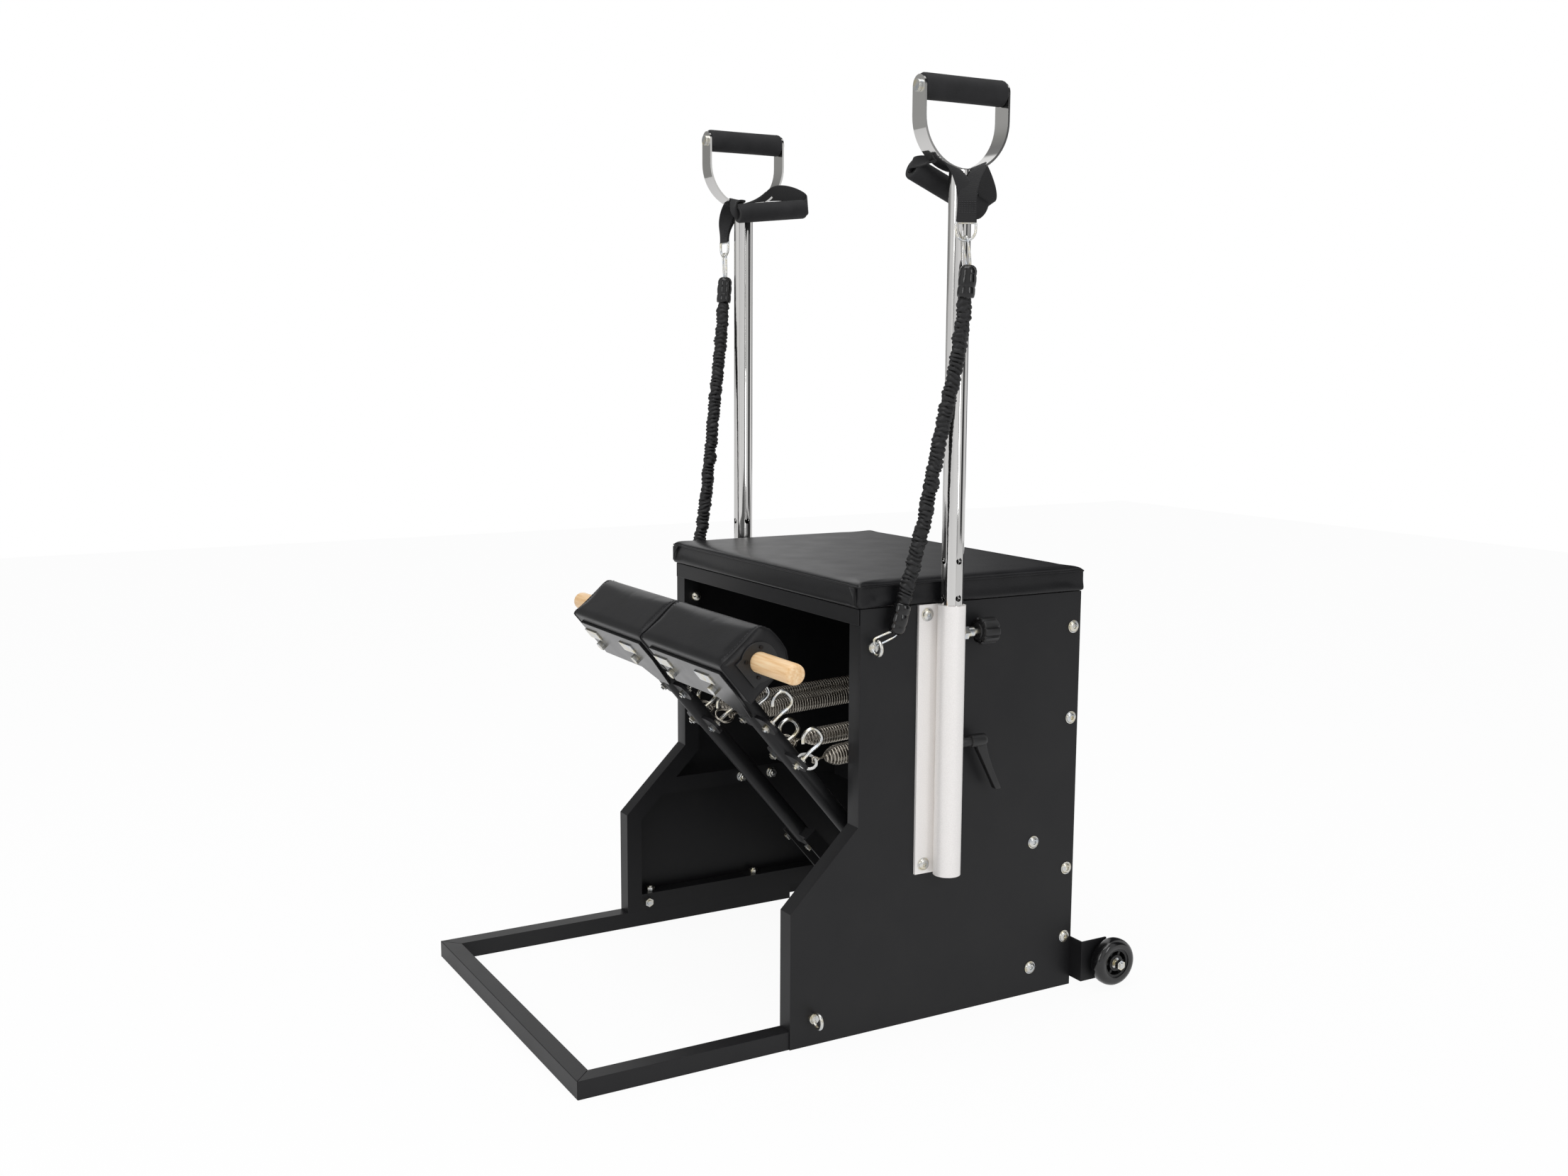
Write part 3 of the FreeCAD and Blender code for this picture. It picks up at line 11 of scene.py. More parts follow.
import bmesh
import bpy
from mathutils import Matrix, Vector, kdtree, noise

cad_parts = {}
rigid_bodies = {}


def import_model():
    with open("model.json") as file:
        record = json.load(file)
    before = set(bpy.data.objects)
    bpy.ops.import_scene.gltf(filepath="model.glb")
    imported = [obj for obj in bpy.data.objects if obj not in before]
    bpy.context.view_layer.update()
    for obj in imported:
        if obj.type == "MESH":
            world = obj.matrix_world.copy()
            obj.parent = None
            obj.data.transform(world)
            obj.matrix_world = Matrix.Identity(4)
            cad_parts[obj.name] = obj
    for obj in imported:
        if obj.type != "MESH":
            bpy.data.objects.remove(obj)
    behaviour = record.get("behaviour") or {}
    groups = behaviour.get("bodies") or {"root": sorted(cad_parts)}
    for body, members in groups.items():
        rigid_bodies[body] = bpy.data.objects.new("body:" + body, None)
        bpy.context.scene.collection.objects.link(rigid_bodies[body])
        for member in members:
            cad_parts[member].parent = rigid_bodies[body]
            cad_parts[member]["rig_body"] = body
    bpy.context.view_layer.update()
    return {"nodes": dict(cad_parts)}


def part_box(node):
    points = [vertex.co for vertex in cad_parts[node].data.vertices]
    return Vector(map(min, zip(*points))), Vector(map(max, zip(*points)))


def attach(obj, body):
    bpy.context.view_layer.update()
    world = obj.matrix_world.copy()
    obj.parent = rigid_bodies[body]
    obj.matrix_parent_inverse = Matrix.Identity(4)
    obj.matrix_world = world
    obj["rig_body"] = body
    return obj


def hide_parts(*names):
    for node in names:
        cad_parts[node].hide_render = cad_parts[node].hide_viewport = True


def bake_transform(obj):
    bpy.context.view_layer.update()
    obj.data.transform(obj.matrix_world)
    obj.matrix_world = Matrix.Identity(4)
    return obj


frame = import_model()
nodes = frame["nodes"]
scene = bpy.context.scene
MM = 0.001
print("CAD nodes:", len(nodes))

# %% [markdown]
# ## Camera
# The viewing angle was worked out from the panel's corners in the photograph: the camera stands to the
# right of the chair's front, a little above the seat, and looks slightly down. A rotation about Z is the
# way it faces, one about X tips it, and a last small one about its own axis levels the picture.

# %% Camera
PHOTO_WIDE = 2212
FOCAL_PX = 2237.9
SENSOR = 36
CAMERA_AT = (2.0201, -1.1299, 0.9134)
YAW, PITCH, ROLL = math.radians(60.4035), math.radians(-8.1806), math.radians(0.268)

camera = bpy.data.objects.new("camera", bpy.data.cameras.new("camera"))
scene.collection.objects.link(camera)
camera.data.sensor_width = SENSOR
camera.data.lens = SENSOR * FOCAL_PX / PHOTO_WIDE
facing = Matrix.Rotation(YAW, 4, "Z") @ Matrix.Rotation(math.pi / 2 + PITCH, 4, "X")
camera.matrix_world = Matrix.Translation(CAMERA_AT) @ facing @ Matrix.Rotation(ROLL, 4, "Z")
scene.camera = camera
print("lens", round(camera.data.lens, 2))


# %% [markdown]
# ## Tools for materials
# One function adds a node, with its settings and what flows into it, so that a finish reads as a short list.
# Colours are written as on a screen, in hex, and turned to linear light by another.

# %% Node and colour tools
def linear(colour):
    """An sRGB hex colour as linear RGBA."""
    parts = [int(colour[place:place + 2], 16) / 255 for place in (1, 3, 5)]
    return [part / 12.92 if part <= 0.04045 else ((part + 0.055) / 1.055) ** 2.4 for part in parts] + [1]


def add(tree, kind, flows=None, stops=(), size=None, feeds=None, **settings):
    """A shader node with its settings, its inputs (a number, a colour, another node or its output) and its ramp's
    stops. A texture has its size in millimetres, and lies on the object's own coordinates if no others flow in. The
    node's first output may feed a socket of the finish's shader."""
    node = tree.nodes.new("ShaderNode" + kind)
    for name, value in settings.items():
        setattr(node, name, value)
    flows = dict(flows or {})
    if size:
        flows["Scale"] = 1 / (size * MM)
        if "Vector" not in flows:
            flows["Vector"] = add(tree, "TexCoord").outputs["Object"]
    for socket, value in flows.items():
        if isinstance(value, bpy.types.Node):
            value = value.outputs[0]
        if isinstance(value, bpy.types.NodeSocket):
            tree.links.new(value, node.inputs[socket])
        else:
            node.inputs[socket].default_value = value
    if stops:
        ramp = node.color_ramp
        while len(ramp.elements) < len(stops):
            ramp.elements.new(1)
        for element, (place, colour) in zip(ramp.elements, stops):
            element.position = place
            element.color = linear(colour)
    if feeds:
        tree.links.new(node.outputs[0], tree.nodes["Principled BSDF"].inputs[feeds])
    return node


def new_finish(name, colour, rough, **sockets):
    """A material with a plain base, ready for its pattern: the material and its tree."""
    material = bpy.data.materials.new(name)
    material.use_nodes = True
    shader = material.node_tree.nodes["Principled BSDF"]
    shader.inputs["Base Color"].default_value = linear(colour)
    shader.inputs["Roughness"].default_value = rough
    for socket, value in sockets.items():
        shader.inputs[socket.replace("_", " ")].default_value = value
    print("finish:", name)
    return material, material.node_tree


# %% [markdown]
# ## Light
# The photograph is a cut-out on white, lit softly from above and from both sides of the camera. The floor and
# the world are white to the camera. What polished metal sees is a studio: white walls with darker gaps between
# them, which draw the long bright and dark stripes down the chrome poles. Two narrow strip lights put a thin
# highlight on whatever is black and glossy.

# %% World, lamps and floor
world = bpy.data.worlds.new("studio")
scene.world = world
world.use_nodes = True
sky = world.node_tree
around = add(sky, "SeparateXYZ", {0: add(sky, "TexCoord").outputs["Generated"]})
bearing = add(sky, "Math", {0: around.outputs["Y"], 1: around.outputs["X"]}, operation="ARCTAN2")
turn_share = add(sky, "MapRange", {0: bearing, 1: -math.pi, 2: math.pi})
walls = add(sky, "ValToRGB", {0: turn_share}, stops=[
    (0.00, "#8e8e8e"), (0.04, "#8a8a8a"), (0.08, "#9c9c9a"), (0.13, "#c8c8c8"), (0.16, "#f6f6f6"),
    (0.27, "#fafafa"), (0.30, "#4a4a4c"), (0.33, "#d8d8d8"), (0.45, "#f4f4f4"), (0.50, "#a6a6a8"),
    (0.54, "#d4d4d4"), (0.585, "#ececec"), (0.605, "#3a3a3c"), (0.66, "#303032"), (0.68, "#d2d2d2"),
    (0.76, "#fafafa"), (0.80, "#8a8a8c"), (0.84, "#444446"), (0.895, "#3c3c3e"), (0.925, "#ffffff"),
    (0.975, "#ffffff"), (0.995, "#909090")])
rays = add(sky, "LightPath")
seen = add(sky, "Math", {0: rays.outputs["Is Camera Ray"], 1: rays.outputs["Is Transmission Ray"]},
           operation="MAXIMUM")
soft = add(sky, "MixRGB", {0: rays.outputs["Is Glossy Ray"], 1: linear("#cfcfd1"), 2: walls})
shown = add(sky, "MixRGB", {0: seen, 1: soft, 2: linear("#ffffff")})
sky.links.new(shown.outputs[0], sky.nodes["Background"].inputs["Color"])


def lamp(name, place, aim, wide, tall, watts):
    light = bpy.data.lights.new(name, "AREA")
    light.shape = "RECTANGLE"
    light.size, light.size_y = wide, tall
    light.energy = watts
    bulb = bpy.data.objects.new(name, light)
    scene.collection.objects.link(bulb)
    bulb.location = place
    bulb.rotation_euler = (Vector(aim) - Vector(place)).to_track_quat("-Z", "Y").to_euler()


lamp("overhead_softbox", (0.3, -0.4, 3.2), (0, 0, 0.4), 2.2, 2.2, 34)
lamp("left_strip", (1.0, -3.1, 1.6), (0, 0, 0.7), 0.6, 1.9, 14)
lamp("right_strip", (3.1, 0.5, 1.6), (0, 0, 0.7), 0.45, 1.7, 12)

floor_finish, floor_tree = new_finish("white_floor", "#f4f4f4", 0.9)
lit = add(floor_tree, "Emission", {"Color": linear("#ffffff"), "Strength": 1.0})
floor_rays = add(floor_tree, "LightPath")
white_share = add(floor_tree, "Math", {0: floor_rays.outputs["Is Camera Ray"], 1: 0.94}, operation="MULTIPLY")
gloss_share = add(floor_tree, "Math", {0: floor_rays.outputs["Is Glossy Ray"], 1: 0.5}, operation="MULTIPLY")
lit_share = add(floor_tree, "Math", {0: white_share, 1: gloss_share}, operation="ADD")
blend_floor = add(floor_tree, "MixShader",
                  {0: lit_share, 1: floor_tree.nodes["Principled BSDF"], 2: lit})
floor_tree.links.new(blend_floor.outputs[0], floor_tree.nodes["Material Output"].inputs["Surface"])
ground = bmesh.new()
bmesh.ops.create_grid(ground, x_segments=1, y_segments=1, size=6)
floor_mesh = bpy.data.meshes.new("floor")
ground.to_mesh(floor_mesh)
ground.free()
floor_mesh.materials.append(floor_finish)
floor = bpy.data.objects.new("floor", floor_mesh)
scene.collection.objects.link(floor)
scene.view_settings.view_transform = "Standard"

# %% [markdown]
# ## Finishes
# Each finish starts from what the real surface is and how it was made. A noise's scale is one over its size
# in metres, and a wave repeats about three times in that length. Patterns much finer than 2 mm would vanish
# in the picture, so they are drawn about that coarse.
#
# The steel is powder coated, and the seat and the pads are covered with leatherette. Both could be wrapped in a
# picture of the surface. A pattern in the object's own space needs no unwrapping and shows no seams, so that is
# the way here.

# %% Powder coat: baked polyester on steel, with an even orange peel
powder_coat, tree = new_finish("satin_black_powder_coat", "#1b1b1c", 0.44, Specular_IOR_Level=0.28)
peel = add(tree, "TexNoise", {"Detail": 3}, size=2.2)
haze = add(tree, "TexNoise", {"Detail": 4}, size=90)
add(tree, "ValToRGB", {0: haze}, [(0.3, "#18181a"), (0.7, "#1e1e1f")], feeds="Base Color")
add(tree, "MapRange", {0: haze, 3: 0.38, 4: 0.50}, feeds="Roughness")
add(tree, "Bump", {"Height": peel, "Strength": 0.10, "Distance": 0.3 * MM}, feeds="Normal")

# %% Gloss coat: the plates under the pads, smoother, so that they mirror the floor at a low angle
gloss_coat, tree = new_finish("gloss_black_powder_coat", "#1a1a1b", 0.20)
smear = add(tree, "TexNoise", {"Detail": 5}, size=30)
add(tree, "MapRange", {0: smear, 3: 0.13, 4: 0.30}, feeds="Roughness")

# %% Leatherette: embossed PU with a fine pebble, slightly worn to a sheen
leatherette, tree = new_finish("black_leatherette", "#141416", 0.42, Specular_IOR_Level=0.3)
pebble = add(tree, "TexVoronoi", size=2.4, feature="SMOOTH_F1")
crease = add(tree, "TexNoise", {"Detail": 6}, size=45)
add(tree, "ValToRGB", {0: crease}, [(0.3, "#0e0e10"), (0.7, "#161618")], feeds="Base Color")
add(tree, "MapRange", {0: crease, 3: 0.30, 4: 0.43}, feeds="Roughness")
bump = add(tree, "Bump", {"Height": pebble, "Strength": 0.16, "Distance": 0.4 * MM})
add(tree, "Bump", {"Height": crease, "Strength": 0.12, "Distance": 3 * MM, "Normal": bump}, feeds="Normal")

# %% [markdown]
# The pegs are beech, and its grain is a noise drawn out along the peg. The metals differ mostly in how rough they
# are: chrome mirrors the studio, zinc plate is duller and tinted in patches, and blasted aluminium scatters light
# so evenly that it looks almost white.

# %% Beech: turned and lacquered, straight grain along the peg with short ray flecks
beech, tree = new_finish("lacquered_beech", "#e6c394", 0.38)
place = add(tree, "TexCoord").outputs["Object"]
along_peg = add(tree, "Mapping", {0: place, "Scale": (0.06, 1, 1)})
grain = add(tree, "TexNoise", {"Vector": along_peg, "Detail": 5}, size=3.2)
add(tree, "ValToRGB", {0: grain}, [(0.25, "#dcae74"), (0.5, "#efc998"), (0.75, "#f7deb6")],
    feeds="Base Color")
add(tree, "Bump", {"Height": grain, "Strength": 0.05, "Distance": 0.3 * MM}, feeds="Normal")

# %% Metals: chrome, blasted aluminium, zinc plate and nickelled spring wire
chrome, tree = new_finish("polished_chrome", "#d2d1cf", 0.07, Metallic=1.0)
smear = add(tree, "TexNoise", {"Detail": 4}, size=60)
add(tree, "MapRange", {0: smear, 3: 0.03, 4: 0.12}, feeds="Roughness")

blasted_aluminium, tree = new_finish("sandblasted_aluminium", "#f5f2ef", 0.45, Metallic=0.22)
grit = add(tree, "TexNoise", {"Detail": 2}, size=1.4)
add(tree, "ValToRGB", {0: grit}, [(0.3, "#f0edea"), (0.7, "#f9f6f3")], feeds="Base Color")
add(tree, "Bump", {"Height": grit, "Strength": 0.06, "Distance": 0.3 * MM}, feeds="Normal")

zinc_plate, tree = new_finish("bright_zinc_plate", "#cfcfca", 0.26, Metallic=1.0)
patches = add(tree, "TexNoise", {"Detail": 3}, size=9)
add(tree, "ValToRGB", {0: patches}, [(0.3, "#c2c8cf"), (0.5, "#d8d7d2"), (0.72, "#d9cfae")],
    feeds="Base Color")
add(tree, "MapRange", {0: patches, 3: 0.18, 4: 0.34}, feeds="Roughness")

black_zinc, tree = new_finish("black_zinc_plate", "#1d1a19", 0.38, Metallic=0.6)
patches = add(tree, "TexNoise", {"Detail": 3}, size=4)
add(tree, "ValToRGB", {0: patches}, [(0.3, "#151313"), (0.7, "#2a2523")], feeds="Base Color")

spring_nickel, tree = new_finish("nickelled_spring_wire", "#aba59b", 0.24, Metallic=1.0)
drawn = add(tree, "TexNoise", {"Detail": 3}, size=14)
add(tree, "ValToRGB", {0: drawn}, [(0.3, "#9c968c"), (0.7, "#bbb5ab")], feeds="Base Color")

# %% [markdown]
# Foam rubber is dull and full of pores. The webbing's ribs run across the tape wherever it bends, so their pattern
# follows the strap's UV map. The cords' sleeves get painted shade in their tucks: an attribute on the mesh tells
# the finish where those are.

# %% Foam rubber: NBR sleeves on the handles, dull, with fine open pores
foam_rubber, tree = new_finish("black_foam_rubber", "#1c1c1e", 0.80)
pores = add(tree, "TexNoise", {"Detail": 4}, size=1.6)
dust = add(tree, "TexNoise", {"Detail": 4}, size=26)
add(tree, "ValToRGB", {0: dust}, [(0.3, "#111113"), (0.75, "#1d1d1f")], feeds="Base Color")
add(tree, "Bump", {"Height": pores, "Strength": 0.3, "Distance": 0.4 * MM}, feeds="Normal")

# %% Webbing: polyester tape with ribs across it, 3 mm apart on the strap's own UV map in metres
webbing, tree = new_finish("black_webbing", "#101012", 0.74, Sheen_Weight=0.08)
strap_map = add(tree, "UVMap", uv_map="strap")
ribs = add(tree, "TexWave", {"Vector": strap_map, "Distortion": 0.4}, size=10, bands_direction="Y")
threads = add(tree, "TexNoise", {"Vector": strap_map}, size=1.4)
add(tree, "ValToRGB", {0: threads}, [(0.3, "#0b0b0c"), (0.7, "#161618")], feeds="Base Color")
add(tree, "Bump", {"Height": ribs.outputs[1], "Strength": 0.25, "Distance": 0.4 * MM}, feeds="Normal")

sewing_thread, tree = new_finish("black_sewing_thread", "#2b2b2e", 0.6)
twist = add(tree, "TexNoise", {"Detail": 2}, size=1)
add(tree, "ValToRGB", {0: twist}, [(0.3, "#222224"), (0.7, "#363639")], feeds="Base Color")

# %% Gathered sleeve: thin nylon bunched on an elastic core, painted shade in its tucks, which its mesh marks
gathered_nylon, tree = new_finish("gathered_nylon_sleeve", "#0f0f11", 0.48, Specular_IOR_Level=0.4)
cloth = add(tree, "TexNoise", {"Detail": 3}, size=2)
tuck_shade = add(tree, "Attribute", attribute_name="fold")
# Painted shade: the colour darkens to near black where the fold value is low, in the tucks.
add(tree, "ValToRGB", {0: tuck_shade.outputs["Fac"]}, [(0.45, "#020202"), (0.95, "#151517")], feeds="Base Color")
add(tree, "Bump", {"Height": cloth, "Strength": 0.25, "Distance": 0.5 * MM}, feeds="Normal")

# %% [markdown]
# Moulded nylon has a fine grain from its etched mould, shrunk rubber is glossy and puckered, and cast urethane is
# scuffed. One noise is enough for each, because these pieces are small.

# %% Moulded plastics and rubber: knob and lever, shrunk boots, wheel tread, nylon ring
moulded_nylon, tree = new_finish("moulded_black_nylon", "#141415", 0.44)
etch = add(tree, "TexNoise", {"Detail": 2}, size=1.5)
add(tree, "MapRange", {0: etch, 3: 0.36, 4: 0.52}, feeds="Roughness")
add(tree, "Bump", {"Height": etch, "Strength": 0.15, "Distance": 0.2 * MM}, feeds="Normal")

shrunk_rubber, tree = new_finish("shrunk_rubber_boot", "#0d0d0e", 0.16)
puckers = add(tree, "TexNoise", {"Detail": 2}, size=7)
add(tree, "Bump", {"Height": puckers, "Strength": 0.15, "Distance": 1.2 * MM}, feeds="Normal")

cast_urethane, tree = new_finish("cast_black_urethane", "#0c0c0d", 0.16, Coat_Weight=0.4)
scuff = add(tree, "TexNoise", {"Detail": 5}, size=11)
add(tree, "MapRange", {0: scuff, 3: 0.11, 4: 0.24}, feeds="Roughness")

white_nylon, tree = new_finish("white_nylon", "#e9e9e7", 0.35)
grime = add(tree, "TexNoise", {"Detail": 3}, size=8)
add(tree, "ValToRGB", {0: grime}, [(0.3, "#dcdcd8"), (0.6, "#efefed")], feeds="Base Color")

plywood, tree = new_finish("birch_plywood", "#b98e5c", 0.6)
plies = add(tree, "TexWave", {"Distortion": 2.0}, size=9, bands_direction="Z")
add(tree, "ValToRGB", {0: plies}, [(0.2, "#a67a49"), (0.8, "#c89d6a")], feeds="Base Color")
print("finishes:", len(bpy.data.materials))


# %% [markdown]
# ## Tools for pieces
# A piece starts as a bmesh. These helpers finish it: they name it, shade it, give it its finish, let it ride
# on its body and say which solid it stands for. Shapes turned on a lathe come from one spin of a profile,
# bent wire from a curve, and a steel part from its own solid with the sharp edges broken.

# %% Piece tools
def piece_from(name, shape, finish, body=None, stands_for=(), sharp=38):
    mesh = bpy.data.meshes.new(name)
    shape.to_mesh(mesh)
    shape.free()
    mesh.shade_smooth()
    mesh.set_sharp_from_angle(angle=math.radians(sharp))
    mesh.materials.append(finish)
    piece = bpy.data.objects.new(name, mesh)
    scene.collection.objects.link(piece)
    if body:
        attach(piece, body)
    if stands_for:
        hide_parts(*stands_for)
    print("made", name, "with", len(mesh.vertices), "points")
    return piece


def subdivided(piece, levels):
    smooth = piece.modifiers.new("finer", "SUBSURF")
    smooth.levels = smooth.render_levels = levels
    return smooth


def pour(target, source, move=None):
    """Adds one bmesh to another, moved on the way, and frees it."""
    if move:
        bmesh.ops.transform(source, matrix=move, verts=source.verts)
    mesh = bpy.data.meshes.new("poured")
    source.to_mesh(mesh)
    source.free()
    target.from_mesh(mesh)
    bpy.data.meshes.remove(mesh)


def pointing(at, along):
    """The move that takes the Z axis at the origin to a place and a direction."""
    return Matrix.Translation(at) @ Vector(along).to_track_quat("Z", "Y").to_matrix().to_4x4()


def spun(profile, at, along, steps=40):
    """A lathe-turned shape from (radius, height) pairs in millimetres."""
    shape = bmesh.new()
    spots = [shape.verts.new((radius * MM, 0, height * MM)) for radius, height in profile]
    for here, there in zip(spots, spots[1:]):
        shape.edges.new((here, there))
    bmesh.ops.spin(shape, geom=shape.verts[:] + shape.edges[:], cent=(0, 0, 0), axis=(0, 0, 1),
                   angle=2 * math.pi, steps=steps, use_merge=True)
    bmesh.ops.remove_doubles(shape, verts=shape.verts, dist=0.005 * MM)
    bmesh.ops.recalc_face_normals(shape, faces=shape.faces)
    bmesh.ops.transform(shape, matrix=pointing(at, along), verts=shape.verts)
    return shape


def evaluated(obj):
    """An object's final mesh, with the object removed."""
    scene.collection.objects.link(obj)
    mesh = bpy.data.meshes.new_from_object(obj.evaluated_get(bpy.context.evaluated_depsgraph_get()))
    data = obj.data
    bpy.data.objects.remove(obj)
    if isinstance(data, bpy.types.Curve):
        bpy.data.curves.remove(data)
    return mesh


def curve_mesh(points, dia=0.0, closed=False, kind="NURBS", fine=8, around=3):
    """A smooth line through or near points in metres, as bare edges or as a round wire."""
    data = bpy.data.curves.new("line", "CURVE")
    data.dimensions = "3D"
    data.resolution_u = fine
    data.bevel_depth = dia / 2
    data.bevel_resolution = around
    data.use_fill_caps = not closed
    spline = data.splines.new(kind)
    spline.points.add(len(points) - 1)
    for spot, point in zip(spline.points, points):
        spot.co = (*point, 1)
    spline.use_cyclic_u = closed
    spline.use_endpoint_u = not closed
    spline.order_u = 3
    return evaluated(bpy.data.objects.new("line", data))


def wire(points, dia, closed=False, kind="NURBS", fine=8):
    shape = bmesh.new()
    mesh = curve_mesh([Vector(point) * MM for point in points], dia * MM, closed, kind, fine)
    shape.from_mesh(mesh)
    bpy.data.meshes.remove(mesh)
    return shape


def block(size, centre):
    """A box, its size and centre in millimetres."""
    shape = bmesh.new()
    place = Matrix.Translation(Vector(centre) * MM)
    bmesh.ops.create_cube(shape, size=1, matrix=place @ Matrix.Diagonal((*(Vector(size) * MM), 1)))
    return shape


def round_edges(shape, edges, offset, segments):
    bmesh.ops.bevel(shape, geom=list(edges), offset=offset * MM, segments=segments, profile=0.5, affect="EDGES",
                    material=-1)


def add_stitch(row, spot, along, radius, reach):
    """One stitch of a row: a small ball drawn out along the seam."""
    stitch = bmesh.new()
    bmesh.ops.create_uvsphere(stitch, u_segments=6, v_segments=5, radius=MM)
    bmesh.ops.transform(stitch, matrix=Matrix.Diagonal((radius, radius, reach, 1)), verts=stitch.verts)
    pour(row, stitch, pointing(spot * MM, along))


def dressed(node, finish, edge=0.5, keep=None, label="dressed"):
    """A copy of a solid, or of the faces kept, with its triangles merged, flat faces joined and edges broken."""
    shape = bmesh.new()
    shape.from_mesh(nodes[node].data)
    bmesh.ops.remove_doubles(shape, verts=shape.verts, dist=0.004 * MM)
    bmesh.ops.dissolve_limit(shape, angle_limit=math.radians(0.3), verts=shape.verts, edges=shape.edges)
    if keep:
        spare = [face for face in shape.faces if not keep(face.calc_center_median())]
        bmesh.ops.delete(shape, geom=spare, context="FACES")
    piece = piece_from(f"{node}_{label}", shape, finish, nodes[node]["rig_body"], [node])
    if edge:
        bevel = piece.modifiers.new("broken_edges", "BEVEL")
        bevel.width = edge * MM
        bevel.segments = 2
        bevel.limit_method = "ANGLE"
        bevel.angle_limit = math.radians(40)
        bevel.harden_normals = True
    return piece


SIDES = {"right": 1, "left": -1}


# %% [markdown]
# ## Steel, aluminium and small hardware
# The folded panels, tubes, rails and brackets already have the right shapes in the solids. Real sheet and
# tube never has a knife edge, so each gets a narrow rounded edge that catches the light. A Bevel modifier does
# this on a copy and leaves the solid's shape alone.

# %% Dress the rigid solids
for node, edge in {"right_side_panel": 0.8, "left_side_panel": 0.8, "upper_back_panel": 0.6, "lower_back_panel": 0.6,
                   "seat_tray": 0.8, "cross_rails": 0.8, "spring_anchor": 0.6, "wheel_brackets": 0.8,
                   "right_base_tube": 1.8, "left_base_tube": 1.8, "front_base_tube": 1.8,
                   "right_pedal_arm": 0.6, "left_pedal_arm": 0.6}.items():
    dressed(node, powder_coat, edge)
for node in ("right_pedal_plate", "left_pedal_plate"):
    dressed(node, gloss_coat, 0.8)
for node in ("pivot_shaft", "base_bolts", "frame_nuts", "lock_bushes", "wheel_axles", "cord_eye_bolts",
             "right_handle_bolt", "left_handle_bolt"):
    dressed(node, zinc_plate, 0.4)
PAD_END = 251.0
for node in ("right_pedal_fasteners", "left_pedal_fasteners"):
    dressed(node, zinc_plate, 0.4, lambda middle: abs(middle.x) < PAD_END * MM)
    dressed(node, black_zinc, 0.4, lambda middle: abs(middle.x) >= PAD_END * MM, "peg_screws")
for node in ("right_pole", "left_pole"):
    dressed(node, chrome, 0.4)
dressed("pole_sleeves", blasted_aluminium, 0.7)
dressed("seat_board", plywood, 0.8)
for node in ("right_peg_rosette", "left_peg_rosette"):
    dressed(node, moulded_nylon, 0.5)

# %% [markdown]
# ## Screws
# Button-head screws hold the panels and the sleeves. Each head is a low dome with a socket in it, on a thin
# washer, turned in one spin and set at every screw's place on both sides. Inside, the sleeves' lower bolts end
# in hex nuts and the eye bolts in domed ones. A spin of only six steps makes the hexagon.

# %% Button-head screws
BACK = 349.0
POLE_X, POLE_Y = 298.0, 108.0
PANEL_X = 277.5
FLANGE_X, FLANGE_Y = 281.5, 80.0
SLEEVE_TOP, SLEEVE_LOW = 575.0, 227.0
panel_screws = [(13, 538), (13, 405), (13, 180), (13, 76), (75, 228), (75, 39.5)]
screw_spots = [(PANEL_X, BACK - put, z) for put, z in panel_screws]
screw_spots += [(FLANGE_X, FLANGE_Y, SLEEVE_TOP), (FLANGE_X, FLANGE_Y, SLEEVE_LOW)]
button = [(0, -4), (4, -4), (4, 0), (9.2, 0), (9.2, 1.0), (8.0, 1.1), (7.6, 2.4), (6.2, 3.5), (4.4, 4.0),
          (3.1, 4.05), (2.9, 3.6), (2.7, 1.8), (0, 1.6)]
heads = bmesh.new()
for x, y, z in screw_spots:
    for sign in SIDES.values():
        pour(heads, spun(button, Vector((sign * x, y, z)) * MM, (sign, 0, 0), 24))
piece_from("frame_screw_heads", heads, zinc_plate, "chassis", ["frame_screws"], sharp=50)

# %% Nuts inside the panels, on the sleeves' lower bolts and, domed, on the eye bolts
INNER_X = 250.5
EYE_X, EYE_Y, EYE_Z, EYE_R = 290.25, -5.0, 537.0, 10.0
nut_layers = [(24, [(0, 0), (9, 0), (9, 1.2), (0, 1.2)]),
              (6, [(0, 1.2), (7.3, 1.2), (7.9, 2), (7.9, 7.2), (7, 8), (0, 8)]),
              (20, [(0, 8), (4, 8), (4, 10), (3.3, 10.8), (0, 11)])]
acorn = [(0, 0), (8.6, 0), (8.6, 5), (8.2, 7.5), (6.8, 10.2), (4.4, 12.2), (2, 13), (0, 13.2)]
nuts = bmesh.new()
for sign in SIDES.values():
    pour(nuts, spun(acorn, Vector((sign * INNER_X, EYE_Y, EYE_Z)) * MM, (-sign, 0, 0), 24))
    for y in (FLANGE_Y, 2 * POLE_Y - FLANGE_Y):
        for steps, profile in nut_layers:
            pour(nuts, spun(profile, Vector((sign * INNER_X, y, SLEEVE_LOW)) * MM, (-sign, 0, 0), steps))
piece_from("inner_nuts", nuts, zinc_plate, "chassis", sharp=30)


# %% [markdown]
# ## Padding
# The seat and the pedal pads are foam wrapped in leatherette and stapled to a board. They start as rounded
# blocks a little smaller than the finished cushion. A short cloth simulation with air pressure inside then
# swells the cover between its edges, as foam does, while the underside stays flat where it is stapled. No
# point may move by more than 2 mm. Sculpting could give such a swell too, but a simulation gives the same one
# each time the script runs. The seat's cover is fuller at the corners, where it is gathered, and a
# narrow welt runs round it just below its top edge.

# %% Padding tools
def remeshed(shape, voxel):
    """The block as an even mesh, ready to swell."""
    mesh = bpy.data.meshes.new("block")
    shape.to_mesh(mesh)
    shape.free()
    block = bpy.data.objects.new("block", mesh)
    remesh = block.modifiers.new("even", "REMESH")
    remesh.mode = "VOXEL"
    remesh.voxel_size = voxel * MM
    return evaluated(block)


